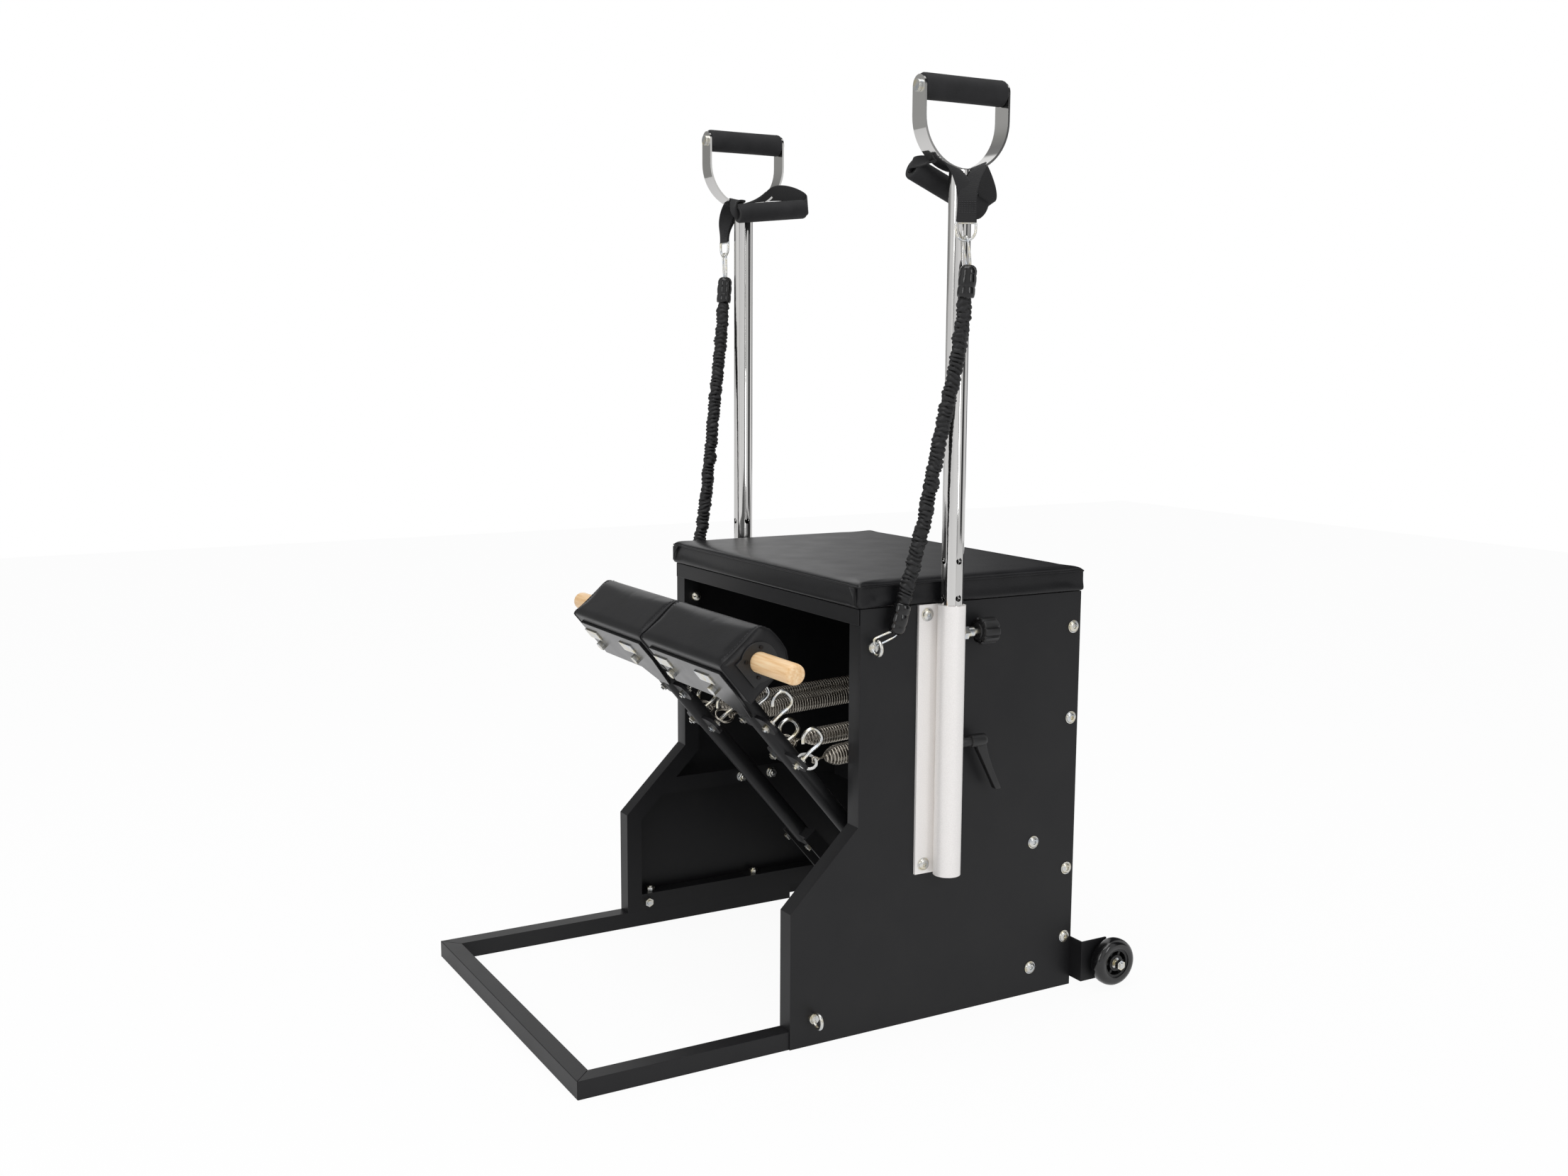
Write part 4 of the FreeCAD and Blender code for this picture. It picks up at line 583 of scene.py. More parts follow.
def swollen(mesh, cap, is_held):
    """Blows the mesh up a little, with the held points pinned and no point moved by more than the cap."""
    rest = [vert.co.copy() for vert in mesh.vertices]
    bag = bpy.data.objects.new("bag", mesh)
    scene.collection.objects.link(bag)
    held = bag.vertex_groups.new(name="stapled")
    held.add([index for index, spot in enumerate(rest) if is_held(spot)], 1.0, "REPLACE")
    cover = bag.modifiers.new("cover", "CLOTH")
    cover.settings.vertex_group_mass = "stapled"
    cover.settings.use_pressure = True
    cover.settings.uniform_pressure_force = 4
    cover.settings.effector_weights.gravity = 0
    cover.settings.quality = 6
    for step in range(1, 21):
        scene.frame_set(step)
    shaped = bag.evaluated_get(bpy.context.evaluated_depsgraph_get()).to_mesh()
    ends = [vert.co.copy() for vert in shaped.vertices]
    bag.modifiers.clear()
    scene.frame_set(1)
    bpy.data.objects.remove(bag)
    for vert, start, end in zip(mesh.vertices, rest, ends):
        move = end - start
        vert.co = start + move * min(1, cap * MM / max(move.length, 1e-9))
    return mesh


def smoothed(mesh, rounds=2):
    shape = bmesh.new()
    shape.from_mesh(mesh)
    bpy.data.meshes.remove(mesh)
    for _ in range(rounds):
        bmesh.ops.smooth_vert(shape, verts=shape.verts, factor=0.5, use_axis_x=True, use_axis_y=True, use_axis_z=True)
    return shape


def section_line(shape, at, normal):
    """The closed line, in millimetres, where a plane cuts a shape."""
    cut = shape.copy()
    found = bmesh.ops.bisect_plane(cut, geom=cut.verts[:] + cut.edges[:] + cut.faces[:], dist=1e-7,
                                   plane_co=at, plane_no=normal)["geom_cut"]
    edges = {item for item in found if isinstance(item, bmesh.types.BMEdge)}
    spot = next(iter(edges)).verts[0]
    line = []
    while True:
        line.append(spot.co / MM)
        edge = next((item for item in spot.link_edges if item in edges), None)
        if edge is None:
            break
        edges.remove(edge)
        spot = edge.other_vert(spot)
    cut.free()
    return line


# %% Seat
seat_low, seat_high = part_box("seat_cushion")
SEAT_SWELL = 1.6
CORNER_FULL, CORNER_REACH = 1.8, 16.0
WELT_DROP = 6.5
seat_size = (seat_high - seat_low) / MM + Vector((2.4, 10.4, 1.0))
seat_mid = (seat_low + seat_high) / 2 / MM + Vector((0, 0, 0.5))


def corner_push(spot):
    """How far the gathered cover stands out at a corner, there and beside it, in metres."""
    away = spot.xy / MM - seat_mid.xy
    inside = Vector((seat_size.x / 2 - abs(away.x), seat_size.y / 2 - abs(away.y)))
    push = CORNER_FULL * MM * math.exp(-inside.length_squared / CORNER_REACH ** 2)
    return Vector((math.copysign(push, away.x), math.copysign(push, away.y), 0))


seat = block(seat_size, seat_mid)
round_edges(seat, [edge for edge in seat.edges if abs(edge.verts[0].co.z - edge.verts[1].co.z) > 10 * MM], 3, 3)
round_edges(seat, [edge for edge in seat.edges if min(vert.co.z for vert in edge.verts) > seat_mid.z * MM], 3, 2)
seat_mesh = remeshed(seat, 4.0)
for vert in seat_mesh.vertices:
    vert.co += corner_push(vert.co)
seat_floor = min(vert.co.z for vert in seat_mesh.vertices) + 3 * MM
seat_mesh = swollen(seat_mesh, SEAT_SWELL, lambda spot: spot.z < seat_floor)
for vert in seat_mesh.vertices:
    if vert.co.z < seat_floor:
        vert.co.z = max(vert.co.z, seat_low.z)
seat_shape = smoothed(seat_mesh, 1)
seat_rim = max(vert.co.z for vert in seat_shape.verts) - WELT_DROP * MM
welt = wire(section_line(seat_shape, (0, 0, seat_rim), (0, 0, 1)), 2.4, closed=True, kind="POLY")
piece_from("seat_welt", welt, leatherette, "chassis")
cushion = piece_from("seat_cover", seat_shape, leatherette, "chassis", ["seat_cushion"], sharp=80)
subdivided(cushion, 1)

# %% [markdown]
# At each front corner of the seat the spare cover is folded under itself and stapled. The fold shows as a thin flap
# with a slanting edge. Folding it by simulation would take long for so small a mark, so one thickened face stands for
# it.

# %% Seat pleats
PLEAT_WIDE, PLEAT_TALL, PLEAT_SET, PLEAT_GAUGE = 14.0, 23.0, 8.0, 1.3
pleats = bmesh.new()
half_wide, half_deep = seat_size.x / 2 + 0.4, seat_size.y / 2 + 0.9
top = seat_mid.z + seat_size.z / 2 - WELT_DROP
for way in (-1, 1):
    flap = bmesh.new()
    edge = half_wide - PLEAT_SET
    fold = [(edge, top), (edge - PLEAT_WIDE, top), (edge - 5, top - 0.45 * PLEAT_TALL), (edge, top - PLEAT_TALL)]
    corners = [Vector((seat_mid.x + way * x, seat_mid.y - half_deep, z)) * MM for x, z in fold]
    flap.faces.new([flap.verts.new(corner + corner_push(corner)) for corner in corners])
    bmesh.ops.recalc_face_normals(flap, faces=flap.faces)
    bmesh.ops.solidify(flap, geom=flap.faces[:], thickness=PLEAT_GAUGE * MM)
    round_edges(flap, flap.edges, 0.45, 2)
    pour(pleats, flap)
bmesh.ops.recalc_face_normals(pleats, faces=pleats.faces)
piece_from("seat_pleats", pleats, leatherette, "chassis")

# %% Pedal pads
PEDAL = Matrix.Translation(Vector((0, 166, 81.5)) * MM) @ Matrix.Rotation(math.radians(40), 4, "X")
PAD_LOW, PAD_HIGH, PAD_BASE, PAD_SIDE, PAD_CROWN, PAD_CORNER = 515.0, 588.0, -8.0, 72.0, 6.0, 13.0
PAD_INNER, PAD_OUTER = 1.0, 249.0
PAD_SWELL = 1.2
pad_mid = (PAD_LOW + PAD_HIGH) / 2
pad_shapes = {}
for side, sign in SIDES.items():
    wrap = block((PAD_OUTER - PAD_INNER - 1.6, PAD_SIDE - PAD_BASE, PAD_HIGH - PAD_LOW - 0.8),
                 (sign * (PAD_INNER + PAD_OUTER) / 2, (PAD_SIDE + PAD_BASE) / 2, pad_mid))
    ridges = [edge for edge in wrap.edges if min(vert.co.y for vert in edge.verts) > PAD_SIDE / 2 * MM
              and abs(edge.verts[0].co.x - edge.verts[1].co.x) > 100 * MM]
    round_edges(wrap, ridges, PAD_CORNER, 6)
    pad_mesh = remeshed(wrap, 4.0)
    for vert in pad_mesh.vertices:
        share = (vert.co.z / MM - pad_mid) / ((PAD_HIGH - PAD_LOW) / 2)
        lift = max(0.0, min(1.0, (vert.co.y / MM - PAD_BASE) / (PAD_SIDE - PAD_BASE)))
        vert.co.y += PAD_CROWN * MM * max(0.0, 1 - share * share) * lift ** 3
    pad_mesh = swollen(pad_mesh, PAD_SWELL, lambda spot: spot.y < (PAD_BASE + 3) * MM)
    pad_shapes[side] = smoothed(pad_mesh, 1)

# %% [markdown]
# The pads' end panels are sewn to the wrap. A narrow rolled edge stands along the joint, and a row of stitches
# runs beside it on the wrap. Both follow the swollen pad's own cross-section, which a cutting plane finds, so
# that they lie on the cover however it swells.

# %% Pad seams
STITCH = 4.8
for side, sign in SIDES.items():
    shape = pad_shapes[side]
    rolled, thread = bmesh.new(), bmesh.new()
    for end, way in ((PAD_INNER + 3, 1), (PAD_OUTER - 3, -1)):
        pour(rolled, wire(section_line(shape, (sign * end * MM, 0, 0), (1, 0, 0)), 2.0, closed=True, kind="POLY"))
        row = section_line(shape, (sign * (end + way * 5) * MM, 0, 0), (1, 0, 0))
        gone = STITCH / 2
        for here, there in zip(row, row[1:]):
            run = (there - here).length
            while gone < run:
                spot = here.lerp(there, gone / run)
                if spot.y > PAD_BASE + 5:
                    add_stitch(thread, spot, there - here, 0.6, 1.7)
                gone += STITCH
            gone -= run
    for made in (shape, rolled, thread):
        bmesh.ops.transform(made, matrix=PEDAL, verts=made.verts)
    pad = piece_from(side + "_pad_cover", shape, leatherette, side + "_pedal", [side + "_pedal_pad"], sharp=70)
    subdivided(pad, 1)
    piece_from(side + "_pad_rolled_edges", rolled, leatherette, side + "_pedal")
    piece_from(side + "_pad_stitches", thread, sewing_thread, side + "_pedal")

# %% [markdown]
# ## Pegs
# A round beech peg stands out of each pad's outer end. It is a plain turning with a softly rounded tip, so one
# spin of its profile makes it, as a lathe would.

# %% Wooden pegs
PEG_Y, PEG_Z, PEG_LENGTH = 35.0, 551.5, 100.0
peg_profile = [(0, 0), (14, 0), (14, 60), (14, PEG_LENGTH - 7), (13.5, PEG_LENGTH - 3.6), (12, PEG_LENGTH - 1.4),
               (9.3, PEG_LENGTH - 0.3), (4.5, PEG_LENGTH), (0, PEG_LENGTH)]
for side, sign in SIDES.items():
    peg = spun(peg_profile, PEDAL @ (Vector((sign * PAD_OUTER, PEG_Y, PEG_Z)) * MM), (sign, 0, 0))
    piece_from(side + "_peg", peg, beech, side + "_pedal", [side + "_pedal_peg"])

# %% [markdown]
# ## Springs
# Four extension springs pull the pedals up. The real ones are close-wound, with ends that taper to an eye. A
# small circle spun round the axis while it climbs makes the coil, and its ends are then drawn in. A bevelled
# curve would look alike, but the spin gives even rings of points, which bend well. Each coil runs from the frame
# behind to the pedal in front.

# %% Springs
ARMS = {"right": 198.0, "left": -52.0}
SPREAD = 32.0
ANCHOR = (311.0, 412.0)
COIL_STEPS = 18
WIRE = 2.6
PITCH_MM = 4.3
TAPER, NECK = 22.0, 3.4
FRONT_EYE, REAR_EYE = 27.0, 16.0
RING, RING_TILT = 13.0, math.radians(35)
RING_SEAT = (17.5, 391.0)
seats = {"right_outer": (6.0, 384.0)}
front_eye = [(NECK, 0, 1), (2.0, 0, -4), (0, 0, -9), (0, 4.2, -13), (0, 3.6, -19), (0, -3.6, -19), (0, -4.2, -13),
             (0, 0, -8)]
rear_eye = [(NECK, 0, -1), (1.5, 0, 4), (0, -6, 8), (0, -7, 17), (0, 0, 23.5), (0, 7, 17), (0, 6, 9)]
ring_turns = [step * math.pi / 12 for step in range(24)]
ring_points = [(RING * math.cos(turn), RING * math.sin(turn), 0) for turn in ring_turns]
for side, arm in ARMS.items():
    for kind, x, dia in (("outer", arm + SPREAD, 29.0), ("inner", arm - SPREAD, 26.0)):
        front = PEDAL @ (Vector((x, *seats.get(f"{side}_{kind}", RING_SEAT))) * MM)
        rear = Vector((x, *ANCHOR)) * MM
        span = (rear - front).length / MM
        radius = (dia - WIRE) / 2
        low, high = FRONT_EYE, span - REAR_EYE
        turns = round((high - low) / PITCH_MM)
        coil = bmesh.new()
        bmesh.ops.create_circle(coil, segments=8, radius=WIRE / 2 * MM,
                                matrix=Matrix.Translation(Vector((radius, 0, low)) * MM)
                                @ Matrix.Rotation(math.pi / 2, 4, "X"))
        bmesh.ops.spin(coil, geom=coil.verts[:] + coil.edges[:], cent=(0, 0, 0), axis=(0, 0, 1),
                       dvec=(0, 0, (high - low) * MM / (turns * COIL_STEPS)), angle=2 * math.pi * turns,
                       steps=turns * COIL_STEPS, use_merge=False)
        for vert in coil.verts:
            from_end = min(vert.co.z / MM - low, high - vert.co.z / MM)
            draw = max(0.0, 1 - from_end / TAPER) ** 2 * (radius - NECK) * MM
            flat = vert.co.xy
            vert.co.xy = flat * (1 - draw / flat.length)
        bmesh.ops.holes_fill(coil, edges=[edge for edge in coil.edges if edge.is_boundary])
        bmesh.ops.recalc_face_normals(coil, faces=coil.faces)
        pour(coil, wire([(x_eye, y_eye, low + step) for x_eye, y_eye, step in front_eye], 3.0))
        pour(coil, wire([(x_eye, y_eye, high + step) for x_eye, y_eye, step in rear_eye], 3.4))
        bmesh.ops.transform(coil, matrix=pointing(front, rear - front), verts=coil.verts)
        name = f"{side}_{kind}_spring"
        spring = piece_from(name + "_coil", coil, spring_nickel, None, [name], sharp=80)
        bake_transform(spring)
        pull = (rear - front).normalized()
        normal = Vector((math.sin(RING_TILT), 0, 0)) + Vector((1, 0, 0)).cross(pull) * math.cos(RING_TILT)
        loop = bmesh.new()
        pour(loop, wire(ring_points, 4.0, closed=True), pointing(front, normal))
        coated = white_nylon if name == "right_outer_spring" else spring_nickel
        piece_from(name + "_ring", loop, coated, side + "_pedal")
print("coil turns", turns)

# %% [markdown]
# Each ring hangs in an open hook, a zinc-plated rod bent back on itself and clamped in the arm's bracket between
# two nuts. Its line is a few points in the pedal's own frame, and a bevelled curve keeps the rod round through
# the bends.

# %% Spring hooks
HOOK_ROWS = (391.0, 464.0)
hook_line = [(-14, 0), (-2, 0), (12, 0), (22, -0.6), (33, -2.6), (43, -0.5), (45.5, 11), (42, 22.5), (31, 25.5),
             (21.5, 23), (17.5, 16.5)]
for side, arm in ARMS.items():
    hooks = bmesh.new()
    for x in (arm + SPREAD, arm - SPREAD):
        for row in HOOK_ROWS:
            pour(hooks, wire([(x, y, row + z) for y, z in hook_line], 5.6, fine=6))
    bmesh.ops.transform(hooks, matrix=PEDAL, verts=hooks.verts)
    piece_from(side + "_hook_rods", hooks, zinc_plate, side + "_pedal", [side + "_spring_hooks"], sharp=60)

# %% [markdown]
# ## Locks and levers
# A fluted nylon knob pulls the pin that locks each pole, and a moulded lever below it clamps the sleeve. The
# knob is a circle with grooves, drawn out and rounded at both ends. The lever is a hub with an arm that is
# extruded away from it in steps, which narrow it and then spread it a little at its end.

# %% Pull knobs
KNOB_RIBS, KNOB_R, KNOB_LENGTH = 9, 18.4, 25.0
GROOVE_FROM, GROOVE_DEPTH = 0.55, 0.12
KNOB_Y = 153.5
knob_low, knob_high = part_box("right_lock_knob")
KNOB_Z = (knob_low.z + knob_high.z) / 2 / MM
for side, sign in SIDES.items():
    knob = bmesh.new()
    bmesh.ops.create_circle(knob, segments=KNOB_RIBS * 12, radius=KNOB_R * MM, cap_ends=True)
    for vert in knob.verts:
        angle = math.atan2(vert.co.y, vert.co.x) * KNOB_RIBS
        groove = max(0.0, math.cos(angle) - GROOVE_FROM) / (1 - GROOVE_FROM)
        vert.co *= 1 - GROOVE_DEPTH * groove
    grown = bmesh.ops.extrude_face_region(knob, geom=knob.faces[:])["geom"]
    drawn = [item for item in grown if isinstance(item, bmesh.types.BMVert)]
    bmesh.ops.translate(knob, vec=(0, 0, KNOB_LENGTH * MM), verts=drawn)
    bmesh.ops.recalc_face_normals(knob, faces=knob.faces)
    rims = [edge for edge in knob.edges if abs(edge.verts[0].co.z - edge.verts[1].co.z) < MM]
    round_edges(knob, rims, 2.2, 3)
    start = Vector((sign * POLE_X, KNOB_Y, KNOB_Z)) * MM
    bmesh.ops.transform(knob, matrix=pointing(start, (0, 1, 0)), verts=knob.verts)
    pour(knob, spun([(0, -3), (10, -3), (11, -2), (11, 0.5), (0, 0.5)], start, (0, 1, 0)))
    piece_from(side + "_knob", knob, moulded_nylon, side + "_knob", [side + "_lock_knob"])
    pin_at = Vector((sign * POLE_X, POLE_Y + 15.4, KNOB_Z)) * MM
    pin = spun([(0, 0), (3.6, 0), (4, 1), (4, 36), (0, 36)], pin_at, (0, 1, 0))
    piece_from(side + "_knob_pin", pin, zinc_plate, side + "_knob")

# %% Clamp levers
LEVER_Z = 396.5
hub_profile = [(0, -18), (6.5, -18), (7, -17), (7, -3), (9, -2), (9.2, 0), (9.2, 18), (8.6, 22), (6.5, 24.4), (0, 25)]
arm_steps = [(14, 6, 0.92, 0.80), (18, 8.5, 0.92, 0.86), (18, 9, 0.98, 0.92), (14, 7, 1.08, 0.95)]
for side, sign in SIDES.items():
    lever = spun(hub_profile, Vector((sign * POLE_X, POLE_Y + 36.5, LEVER_Z)) * MM, (0, 1, 0))
    arm = block((11, 17, 15), (sign * POLE_X, POLE_Y + 52, LEVER_Z - 1))
    foot = min(arm.faces, key=lambda face: face.calc_center_median().z)
    for drop, back, across, along in arm_steps:
        foot = bmesh.ops.extrude_discrete_faces(arm, faces=[foot])["faces"][0]
        middle = foot.calc_center_median()
        bmesh.ops.scale(arm, vec=(across, along, 1), space=Matrix.Translation(-middle), verts=foot.verts)
        bmesh.ops.translate(arm, vec=Vector((0, back, -drop)) * MM, verts=foot.verts)
    bmesh.ops.recalc_face_normals(arm, faces=arm.faces)
    round_edges(arm, arm.edges, 1.6, 2)
    pour(lever, arm)
    piece_from(side + "_lever", lever, moulded_nylon, side + "_lever", [side + "_clamp_lever"])

# %% [markdown]
# ## Wheels
# Two small urethane wheels at the back let the chair be tipped and rolled away. The tread is a round-shouldered
# turning. The hub is a rim and a bearing seat joined by six spokes, which are rounded blocks turned about the
# axle.

# %% Wheels
WHEEL_Y, WHEEL_Z, WHEEL_X = 396.0, 39.5, 317.0
tread_profile = [(21.6, -11), (25, -12), (29, -11.6), (32, -10), (34, -7), (35, -3), (35, 3), (34, 7), (32, 10),
                 (29, 11.6), (25, 12), (21.6, 11), (21.6, -11)]
rim_profile = [(18, -9), (21.8, -9.5), (21.8, 9.5), (18, 9), (18, -9)]
seat_profile = [(8, -9.5), (12, -9), (12, 9), (8, 9.5), (8, -9.5)]
bearing_profile = [(4.1, -8), (5.6, -8.6), (7.9, -8.2), (7.9, 8.2), (5.6, 8.6), (4.1, 8), (4.1, -8)]
for side, sign in SIDES.items():
    hub = Vector((sign * WHEEL_X, WHEEL_Y, WHEEL_Z)) * MM
    out = (sign, 0, 0)
    tread = spun(tread_profile, hub, out, 64)
    piece_from(side + "_tread", tread, cast_urethane, side + "_wheel", [side + "_wheel_tyre"])
    core = spun(rim_profile, hub, out, 48)
    pour(core, spun(seat_profile, hub, out, 48))
    for step in range(6):
        spoke = block((8, 4.2, 12), (15, 0, 0))
        round_edges(spoke, spoke.edges, 0.7, 2)
        pour(core, spoke, pointing(hub, out) @ Matrix.Rotation(step * math.pi / 3, 4, "Z"))
    piece_from(side + "_wheel_hub", core, moulded_nylon, side + "_wheel", [side + "_wheel_core"])
    piece_from(side + "_wheel_bearing", spun(bearing_profile, hub, out), zinc_plate, side + "_wheel")

# %% [markdown]
# ## Handles and hand straps
# The grips are foam tubes, slightly rounded at their ends. A hand strap hangs over each yoke: two legs of tape
# lie over the strip beside the pole, meet in a sewn band above the D-ring outside, and run through a second foam
# grip inside. Tape is a ladder of a few quads that the subdivision surface smooths and Solidify thickens.

# %% Foam grips
GRIP_Z = 1258.0
grip_profile = [(4.3, -63.4), (13, -63.4), (15.6, -62.8), (16.6, -61), (16.75, -57), (16.6, -20), (16.6, 20),
                (16.75, 57), (16.9, 60), (16.4, 62.4), (14.5, 63.4), (4.3, 63.4), (4.3, -63.4)]
hollow_profile = [(9.5, -50), (9.5, -61), (13.2, -61), (14.2, -60.4), (15, -58), (15, 58), (14.2, 60.4), (13.2, 61),
                  (9.5, 61), (9.5, 50), (9.5, -50)]
liner_profile = [(8.2, -52), (8.2, -61.6), (11.8, -61.6), (12.4, -61), (12.4, -60.2), (9.4, -60), (9.4, 60),
                 (12.4, 60.2), (12.4, 61), (11.8, 61.6), (8.2, 61.6), (8.2, -52)]
FOAM_X = 264.0
foam_places = {"right": (112, 1137, -23.0), "left": (140, 1150, 6.0)}
for side, sign in SIDES.items():
    handle = side + "_handle"
    grip = spun(grip_profile, Vector((sign * POLE_X, POLE_Y, GRIP_Z)) * MM, (0, 1, 0), 48)
    piece_from(side + "_grip_foam", grip, foam_rubber, handle, [side + "_handle_grip"], sharp=60)
    y, z, tilt = foam_places[side]
    along = (0, math.cos(math.radians(tilt)), math.sin(math.radians(tilt)))
    at = Vector((sign * FOAM_X, y, z)) * MM
    foam = piece_from(side + "_strap_foam", spun(hollow_profile, at, along, 48), foam_rubber, handle,
                      [side + "_hand_strap"], sharp=60)
    piece_from(side + "_strap_liner", spun(liner_profile, at, along), moulded_nylon, handle)


# %% Tape
def tape(name, stations, body, width=25.0, gauge=1.6):
    """A flat strap through stations of (centre, direction across, share of its width where it is pinched)."""
    strip = bmesh.new()
    uv = strip.loops.layers.uv.new("strap")
    rows, gone = [], 0.0
    for index, (centre, across, *pinch) in enumerate(stations):
        centre, across = Vector(centre), Vector(across).normalized() * width / 2 * (pinch or [1])[0]
        if index:
            gone += (centre - Vector(stations[index - 1][0])).length
        rows.append((strip.verts.new((centre - across) * MM), strip.verts.new((centre + across) * MM), gone * MM))
    for (a, b, here), (c, d, there) in zip(rows, rows[1:]):
        face = strip.faces.new((a, b, d, c))
        for loop, spot in zip(face.loops, ((0, here), (width * MM, here), (width * MM, there), (0, there))):
            loop[uv].uv = spot
    piece = piece_from(name, strip, webbing, body, sharp=180)
    subdivided(piece, 4).boundary_smooth = "PRESERVE_CORNERS"
    thick = piece.modifiers.new("thick", "SOLIDIFY")
    thick.thickness = gauge * MM
    thick.offset = 0
    return piece


front_right = [((264, 80, 1151), (0, 0.39, 0.92), 0.6), ((264, 64, 1157.5), (0, 0.39, 0.92), 0.6),
               ((264.5, 54, 1162), (0.1, 0.39, 0.92), 0.62), ((268.5, 49.5, 1166), (0.3, 0.3, 0.9), 0.66),
               ((274.5, 56, 1168), (0.2, 0.45, 0.87), 0.76), ((285, 70, 1167), (0.1, 0.85, 0.5)),
               ((298, 81, 1166), (0, 0.93, -0.36)), ((312, 85, 1162), (0, 0.95, -0.3)),
               ((321, 93, 1146), (0.1, 0.97, -0.25)), ((325, 100, 1124), (0.35, 0.92, -0.1)),
               ((326, 99, 1104), (0.45, 0.89, 0)), ((326, 98, 1089), (0.45, 0.89, 0))]
rear_right = [((264, 140, 1126), (0, 0.39, 0.92)), ((264, 158, 1119), (0, 0.39, 0.92)),
              ((266, 170, 1113), (0.2, 0.5, 0.85)), ((273, 173, 1117), (0.47, 0.78, 0.4)),
              ((282, 164, 1136), (0.47, 0.83, 0.31)), ((290, 147, 1157), (0.3, 0.85, 0.4)),
              ((298, 135, 1167), (0, 0.92, 0.4)), ((313, 129, 1162), (0, 0.94, 0.3)),
              ((322, 112, 1148), (0.1, 0.96, 0.25)), ((327.5, 98, 1126), (0.4, 0.9, 0.1)),
              ((328.3, 97.5, 1105), (0.45, 0.89, 0)), ((328.3, 98, 1089), (0.45, 0.89, 0))]
front_left = [((-324, 86, 1102), (1, 0, 0)), ((-324, 86, 1117), (1, 0, 0)), ((-321, 87, 1138), (0.6, 0.8, 0.1)),
              ((-313, 90, 1158), (0, 0.97, -0.2)), ((-298, 92, 1166), (0, 0.97, -0.24)),
              ((-283, 92, 1167), (0.2, 0.97, -0.2)), ((-273, 84, 1165), (0.6, 0.75, 0)),
              ((-266, 74, 1155), (0.5, 0.3, 0.8)), ((-264, 76, 1145), (0, -0.1, 1)),
              ((-264, 92, 1145), (0, -0.1, 1)), ((-264, 110, 1147), (0, -0.1, 1))]
rear_left = [((-324, 88.2, 1102), (1, 0, 0)), ((-324, 88.2, 1118), (1, 0, 0)), ((-322, 95, 1140), (0.5, 0.85, 0.2)),
             ((-314, 110, 1160), (0, 0.98, 0.15)), ((-298, 120, 1166), (0, 0.97, 0.2)),
             ((-286, 134, 1174), (0.3, 0.6, 0.7)), ((-284, 154, 1181), (0, 0.1, 1)), ((-285, 178, 1183), (0, 0, 1)),
             ((-282, 202, 1178), (0, -0.1, 1)), ((-272, 214, 1169), (0, -0.1, 1)),
             ((-264, 208, 1158), (0, -0.1, 1)), ((-264, 190, 1155), (0, -0.1, 1)),
             ((-264, 172, 1153), (0, -0.1, 1))]
for name, stations in (("right_strap_front_leg", front_right), ("right_strap_rear_leg", rear_right),
                       ("left_strap_front_leg", front_left), ("left_strap_rear_leg", rear_left)):
    tape(name, stations, name.split("_")[0] + "_handle")

# %% Rows of stitches where the two legs are sewn into one band
sewn = {"right": ((328.3, 98, 1108), (0.45, 0.89, 0), (0.89, -0.45, 0)),
        "left": ((-324, 86, 1116), (1, 0, 0), (0, -1, 0))}
for side, (middle, across, outward) in sewn.items():
    rows = bmesh.new()
    for level in (-6.5, -3.9, -1.3, 1.3, 3.9, 6.5):
        for step in range(-3, 4):
            spot = Vector(middle) + Vector(across) * step * 3.3 + Vector(outward) * 0.95 + Vector((0, 0, level))
            add_stitch(rows, spot, across, 0.5, 1.35)
    piece_from(side + "_strap_stitches", rows, sewing_thread, side + "_handle")

# %% [markdown]
# ## Cords
# Each resistance cord is an elastic core in a gathered nylon sleeve. Its line is a smooth spline with the solid
# route's points as control points. The sleeve is a tube along that line, and its skin is then bunched into
# uneven folds about 6 mm apart. A bump alone would leave the sleeve's outline smooth. It is fixed to the frame
# below and to the handle above.

# %% Cord routes
CORD = 19.0
routes = {
    "right": [(294, 32, 595), (297, 45, 647), (301, 60, 709), (305, 69, 771), (311, 84, 853), (320, 96, 923),
              (324, 101, 994)],
    "left": [(-294, 20, 595), (-297, 33, 650), (-301, 43, 712), (-305, 52, 775), (-310, 62, 853), (-316, 75, 930),
             (-320, 83, 1005)],
}
dees = {"right": (326, 98, 1079), "left": (-324, 87, 1092)}
FOLD, SWAY = 6.6, 1.8


def line_along(points):
    """The spline's own points, from its first to its last."""
    mesh = curve_mesh([Vector(point) * MM for point in points], fine=90)
    line = [vert.co.copy() for vert in mesh.vertices]
    bpy.data.meshes.remove(mesh)
    return line


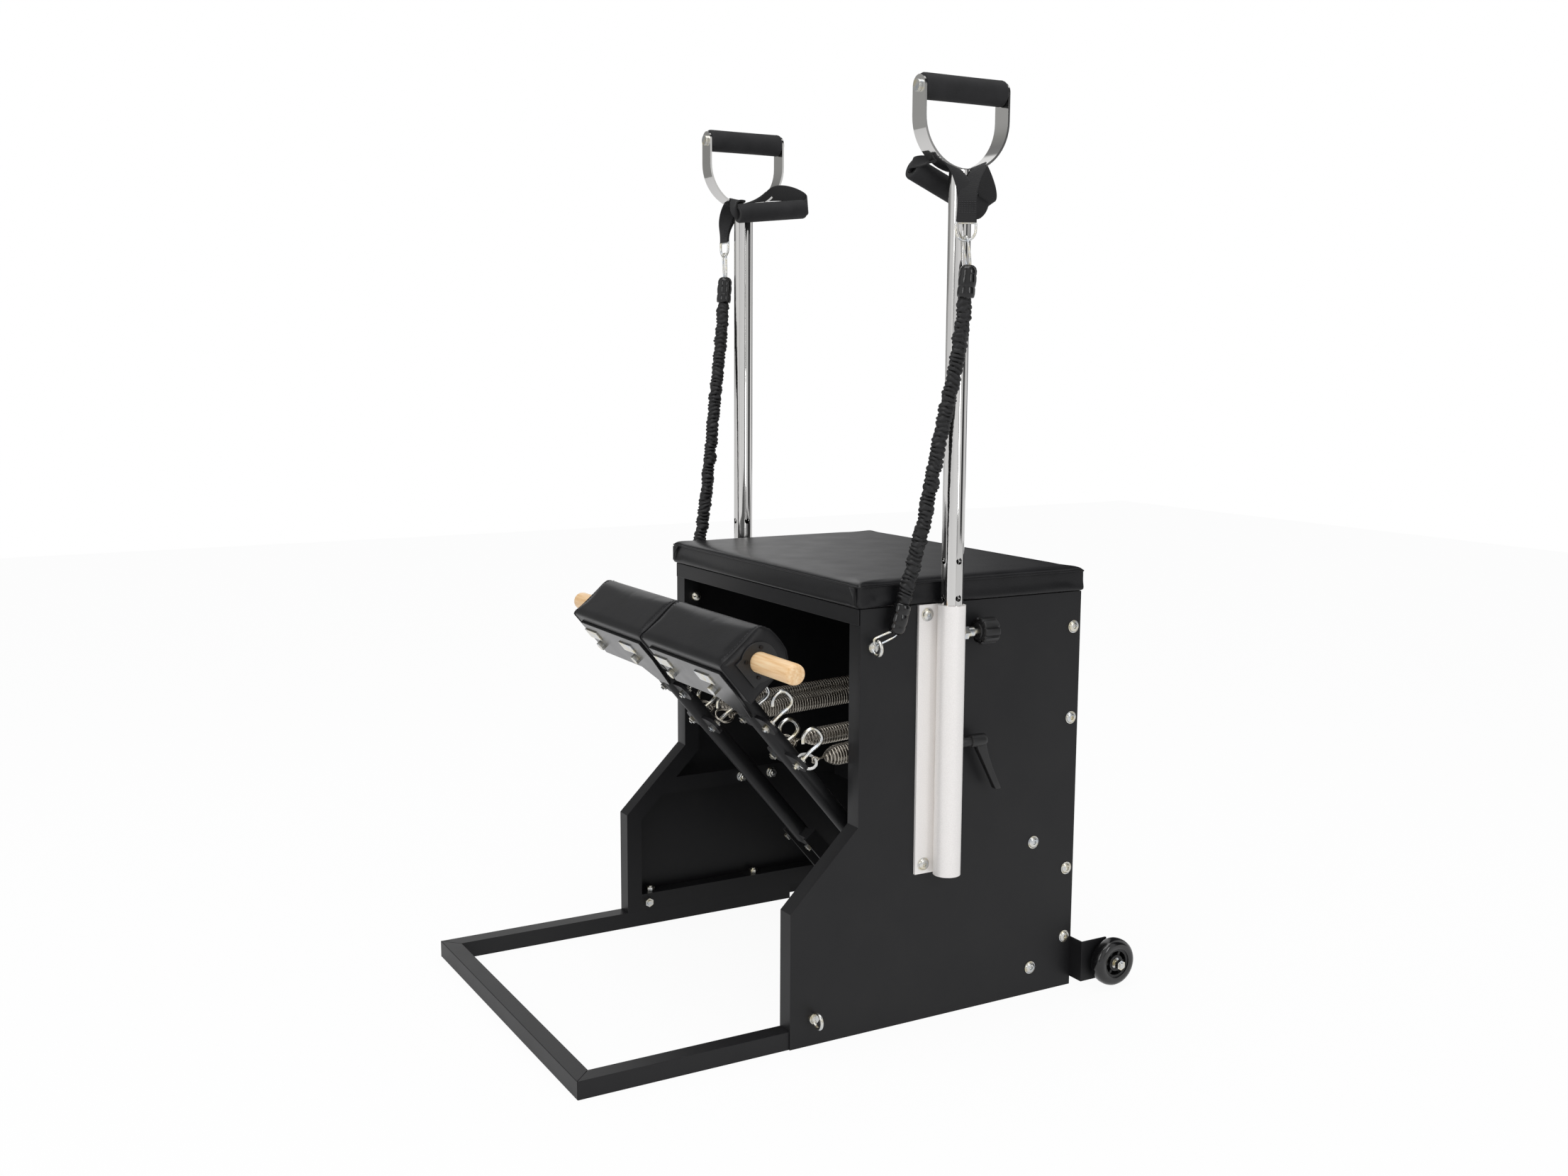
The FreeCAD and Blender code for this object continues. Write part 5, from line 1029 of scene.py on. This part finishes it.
def gathered(points, line):
    """A tube on the spline with its skin bunched into folds."""
    tube = curve_mesh([Vector(point) * MM for point in points], CORD * MM, fine=90, around=9)
    tree_of_line = kdtree.KDTree(len(line))
    lengths = [0.0]
    for index, spot in enumerate(line):
        tree_of_line.insert(spot, index)
        if index:
            lengths.append(lengths[-1] + (spot - line[index - 1]).length / MM)
    tree_of_line.balance()
    total = lengths[-1]
    folds = tube.attributes.new("fold", "FLOAT", "POINT")
    for vert, fold in zip(tube.vertices, folds.data):
        centre, index, _ = tree_of_line.find(vert.co)
        out = vert.co - centre
        if out.length < 1 * MM:
            continue
        gone = lengths[index]
        angle = math.atan2(out.y, out.x)
        ring = Vector((math.cos(angle), math.sin(angle), 0))
        skew = 0.8 * math.sin(angle + gone / 23) + 2.6 * noise.noise(ring * 0.8 + Vector((0, 0, gone / 15)))
        bunch = abs(math.sin(math.pi * gone / FOLD + skew)) ** 0.55
        lump = noise.noise(ring * 1.3 + Vector((7, 0, gone / 9)))
        knot = noise.noise(Vector((3, 0, gone / 12)))
        # The fold value is kept on the mesh for the finish, which paints shade into the tucks where it is low.
        fold.value = bunch
        tuck = min(1.0, gone / 8, (total - gone) / 8)
        sway = Vector((noise.noise(Vector((11, 0, gone / 17))), noise.noise(Vector((17, 0, gone / 14))), 0))
        vert.co = centre + sway * tuck * SWAY * MM + out * (0.80 + tuck * (0.29 * bunch + 0.17 * lump + 0.14 * knot))
    shape = bmesh.new()
    shape.from_mesh(tube)
    bpy.data.meshes.remove(tube)
    return shape, total


# %% [markdown]
# A boot of shrunk rubber closes each end of a cord, and a steel wire snap joins it to the eye below and to the
# strap's D-ring above.

# %% Cords, boots, snaps and D-rings
BOOT = 42.0
DEE_R, DEE_RISE = 13.0, 9.0
boot_profile = [(0, 0.4), (10.2, 0.4), (11.2, 1.5), (11.7, 6), (11.4, 12), (10.7, 14), (11.4, 16), (11.9, 22),
                (11.5, 27), (10.8, 29), (11.3, 31), (11.2, 35), (9.6, 39), (6.8, 41.3), (4.5, BOOT), (0, BOOT)]
dee_across = {"right": Vector((0.45, 0.89, 0)), "left": Vector((1, 0, 0))}
for side, sign in SIDES.items():
    route = [Vector(point) for point in routes[side]]
    line = line_along(route)
    sleeve, length = gathered(route, line)
    handle = side + "_handle"
    down = (route[0] - route[1]).normalized()
    up = (route[-1] - route[-2]).normalized()
    low_boot = piece_from(side + "_lower_boot", spun(boot_profile, route[0] * MM, down), shrunk_rubber, "chassis",
                          ["lower_cord_fittings"])
    top_boot = piece_from(side + "_upper_boot", spun(boot_profile, route[-1] * MM, up), shrunk_rubber, handle,
                          [side + "_cord_fitting"])
    eye = Vector((sign * EYE_X, EYE_Y, EYE_Z + EYE_R))
    dee = Vector(dees[side])
    ends = (("lower", route[0] + down * (BOOT - 2), eye, Vector((0, 0.6, -0.8)), "chassis"),
            ("upper", route[-1] + up * (BOOT - 2), dee - Vector((0, 0, DEE_R)), Vector((1, 0, 0)), handle))
    for label, tip, held, across, body in ends:
        way = (held - tip).normalized()
        aside = (across - way * across.dot(way)).normalized() * 5.2
        far = held + way * 4.6
        loop = [tip + aside * 0.55, tip + aside * 0.9 + way * 5, held + aside - way * 3, far + aside * 0.95,
                far + way * 1.2, far - aside * 0.95, held - aside - way * 3, tip - aside * 0.9 + way * 5,
                tip - aside * 0.55]
        piece_from(f"{side}_{label}_snap", wire(loop, 3.2), zinc_plate, body)
    flat = dee_across[side]
    arc = [dee + flat * DEE_R * math.cos(turn) - Vector((0, 0, DEE_R * math.sin(turn)))
           for turn in (step * math.pi / 10 for step in range(11))]
    rise = Vector((0, 0, DEE_RISE))
    ring = wire([dee + flat * DEE_R + rise, *arc, dee - flat * DEE_R + rise], 3.4)
    pour(ring, wire([dee + flat * spread + Vector((0, 0, 9.5)) for spread in (-14, -5, 5, 14)], 3.4))
    piece_from(side + "_dee", ring, zinc_plate, handle)
    cord = piece_from(side + "_cord_sleeve", sleeve, gathered_nylon, None, [side + "_cord"], sharp=70)
    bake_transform(cord)
    print(side, "cord", round(length), "mm")
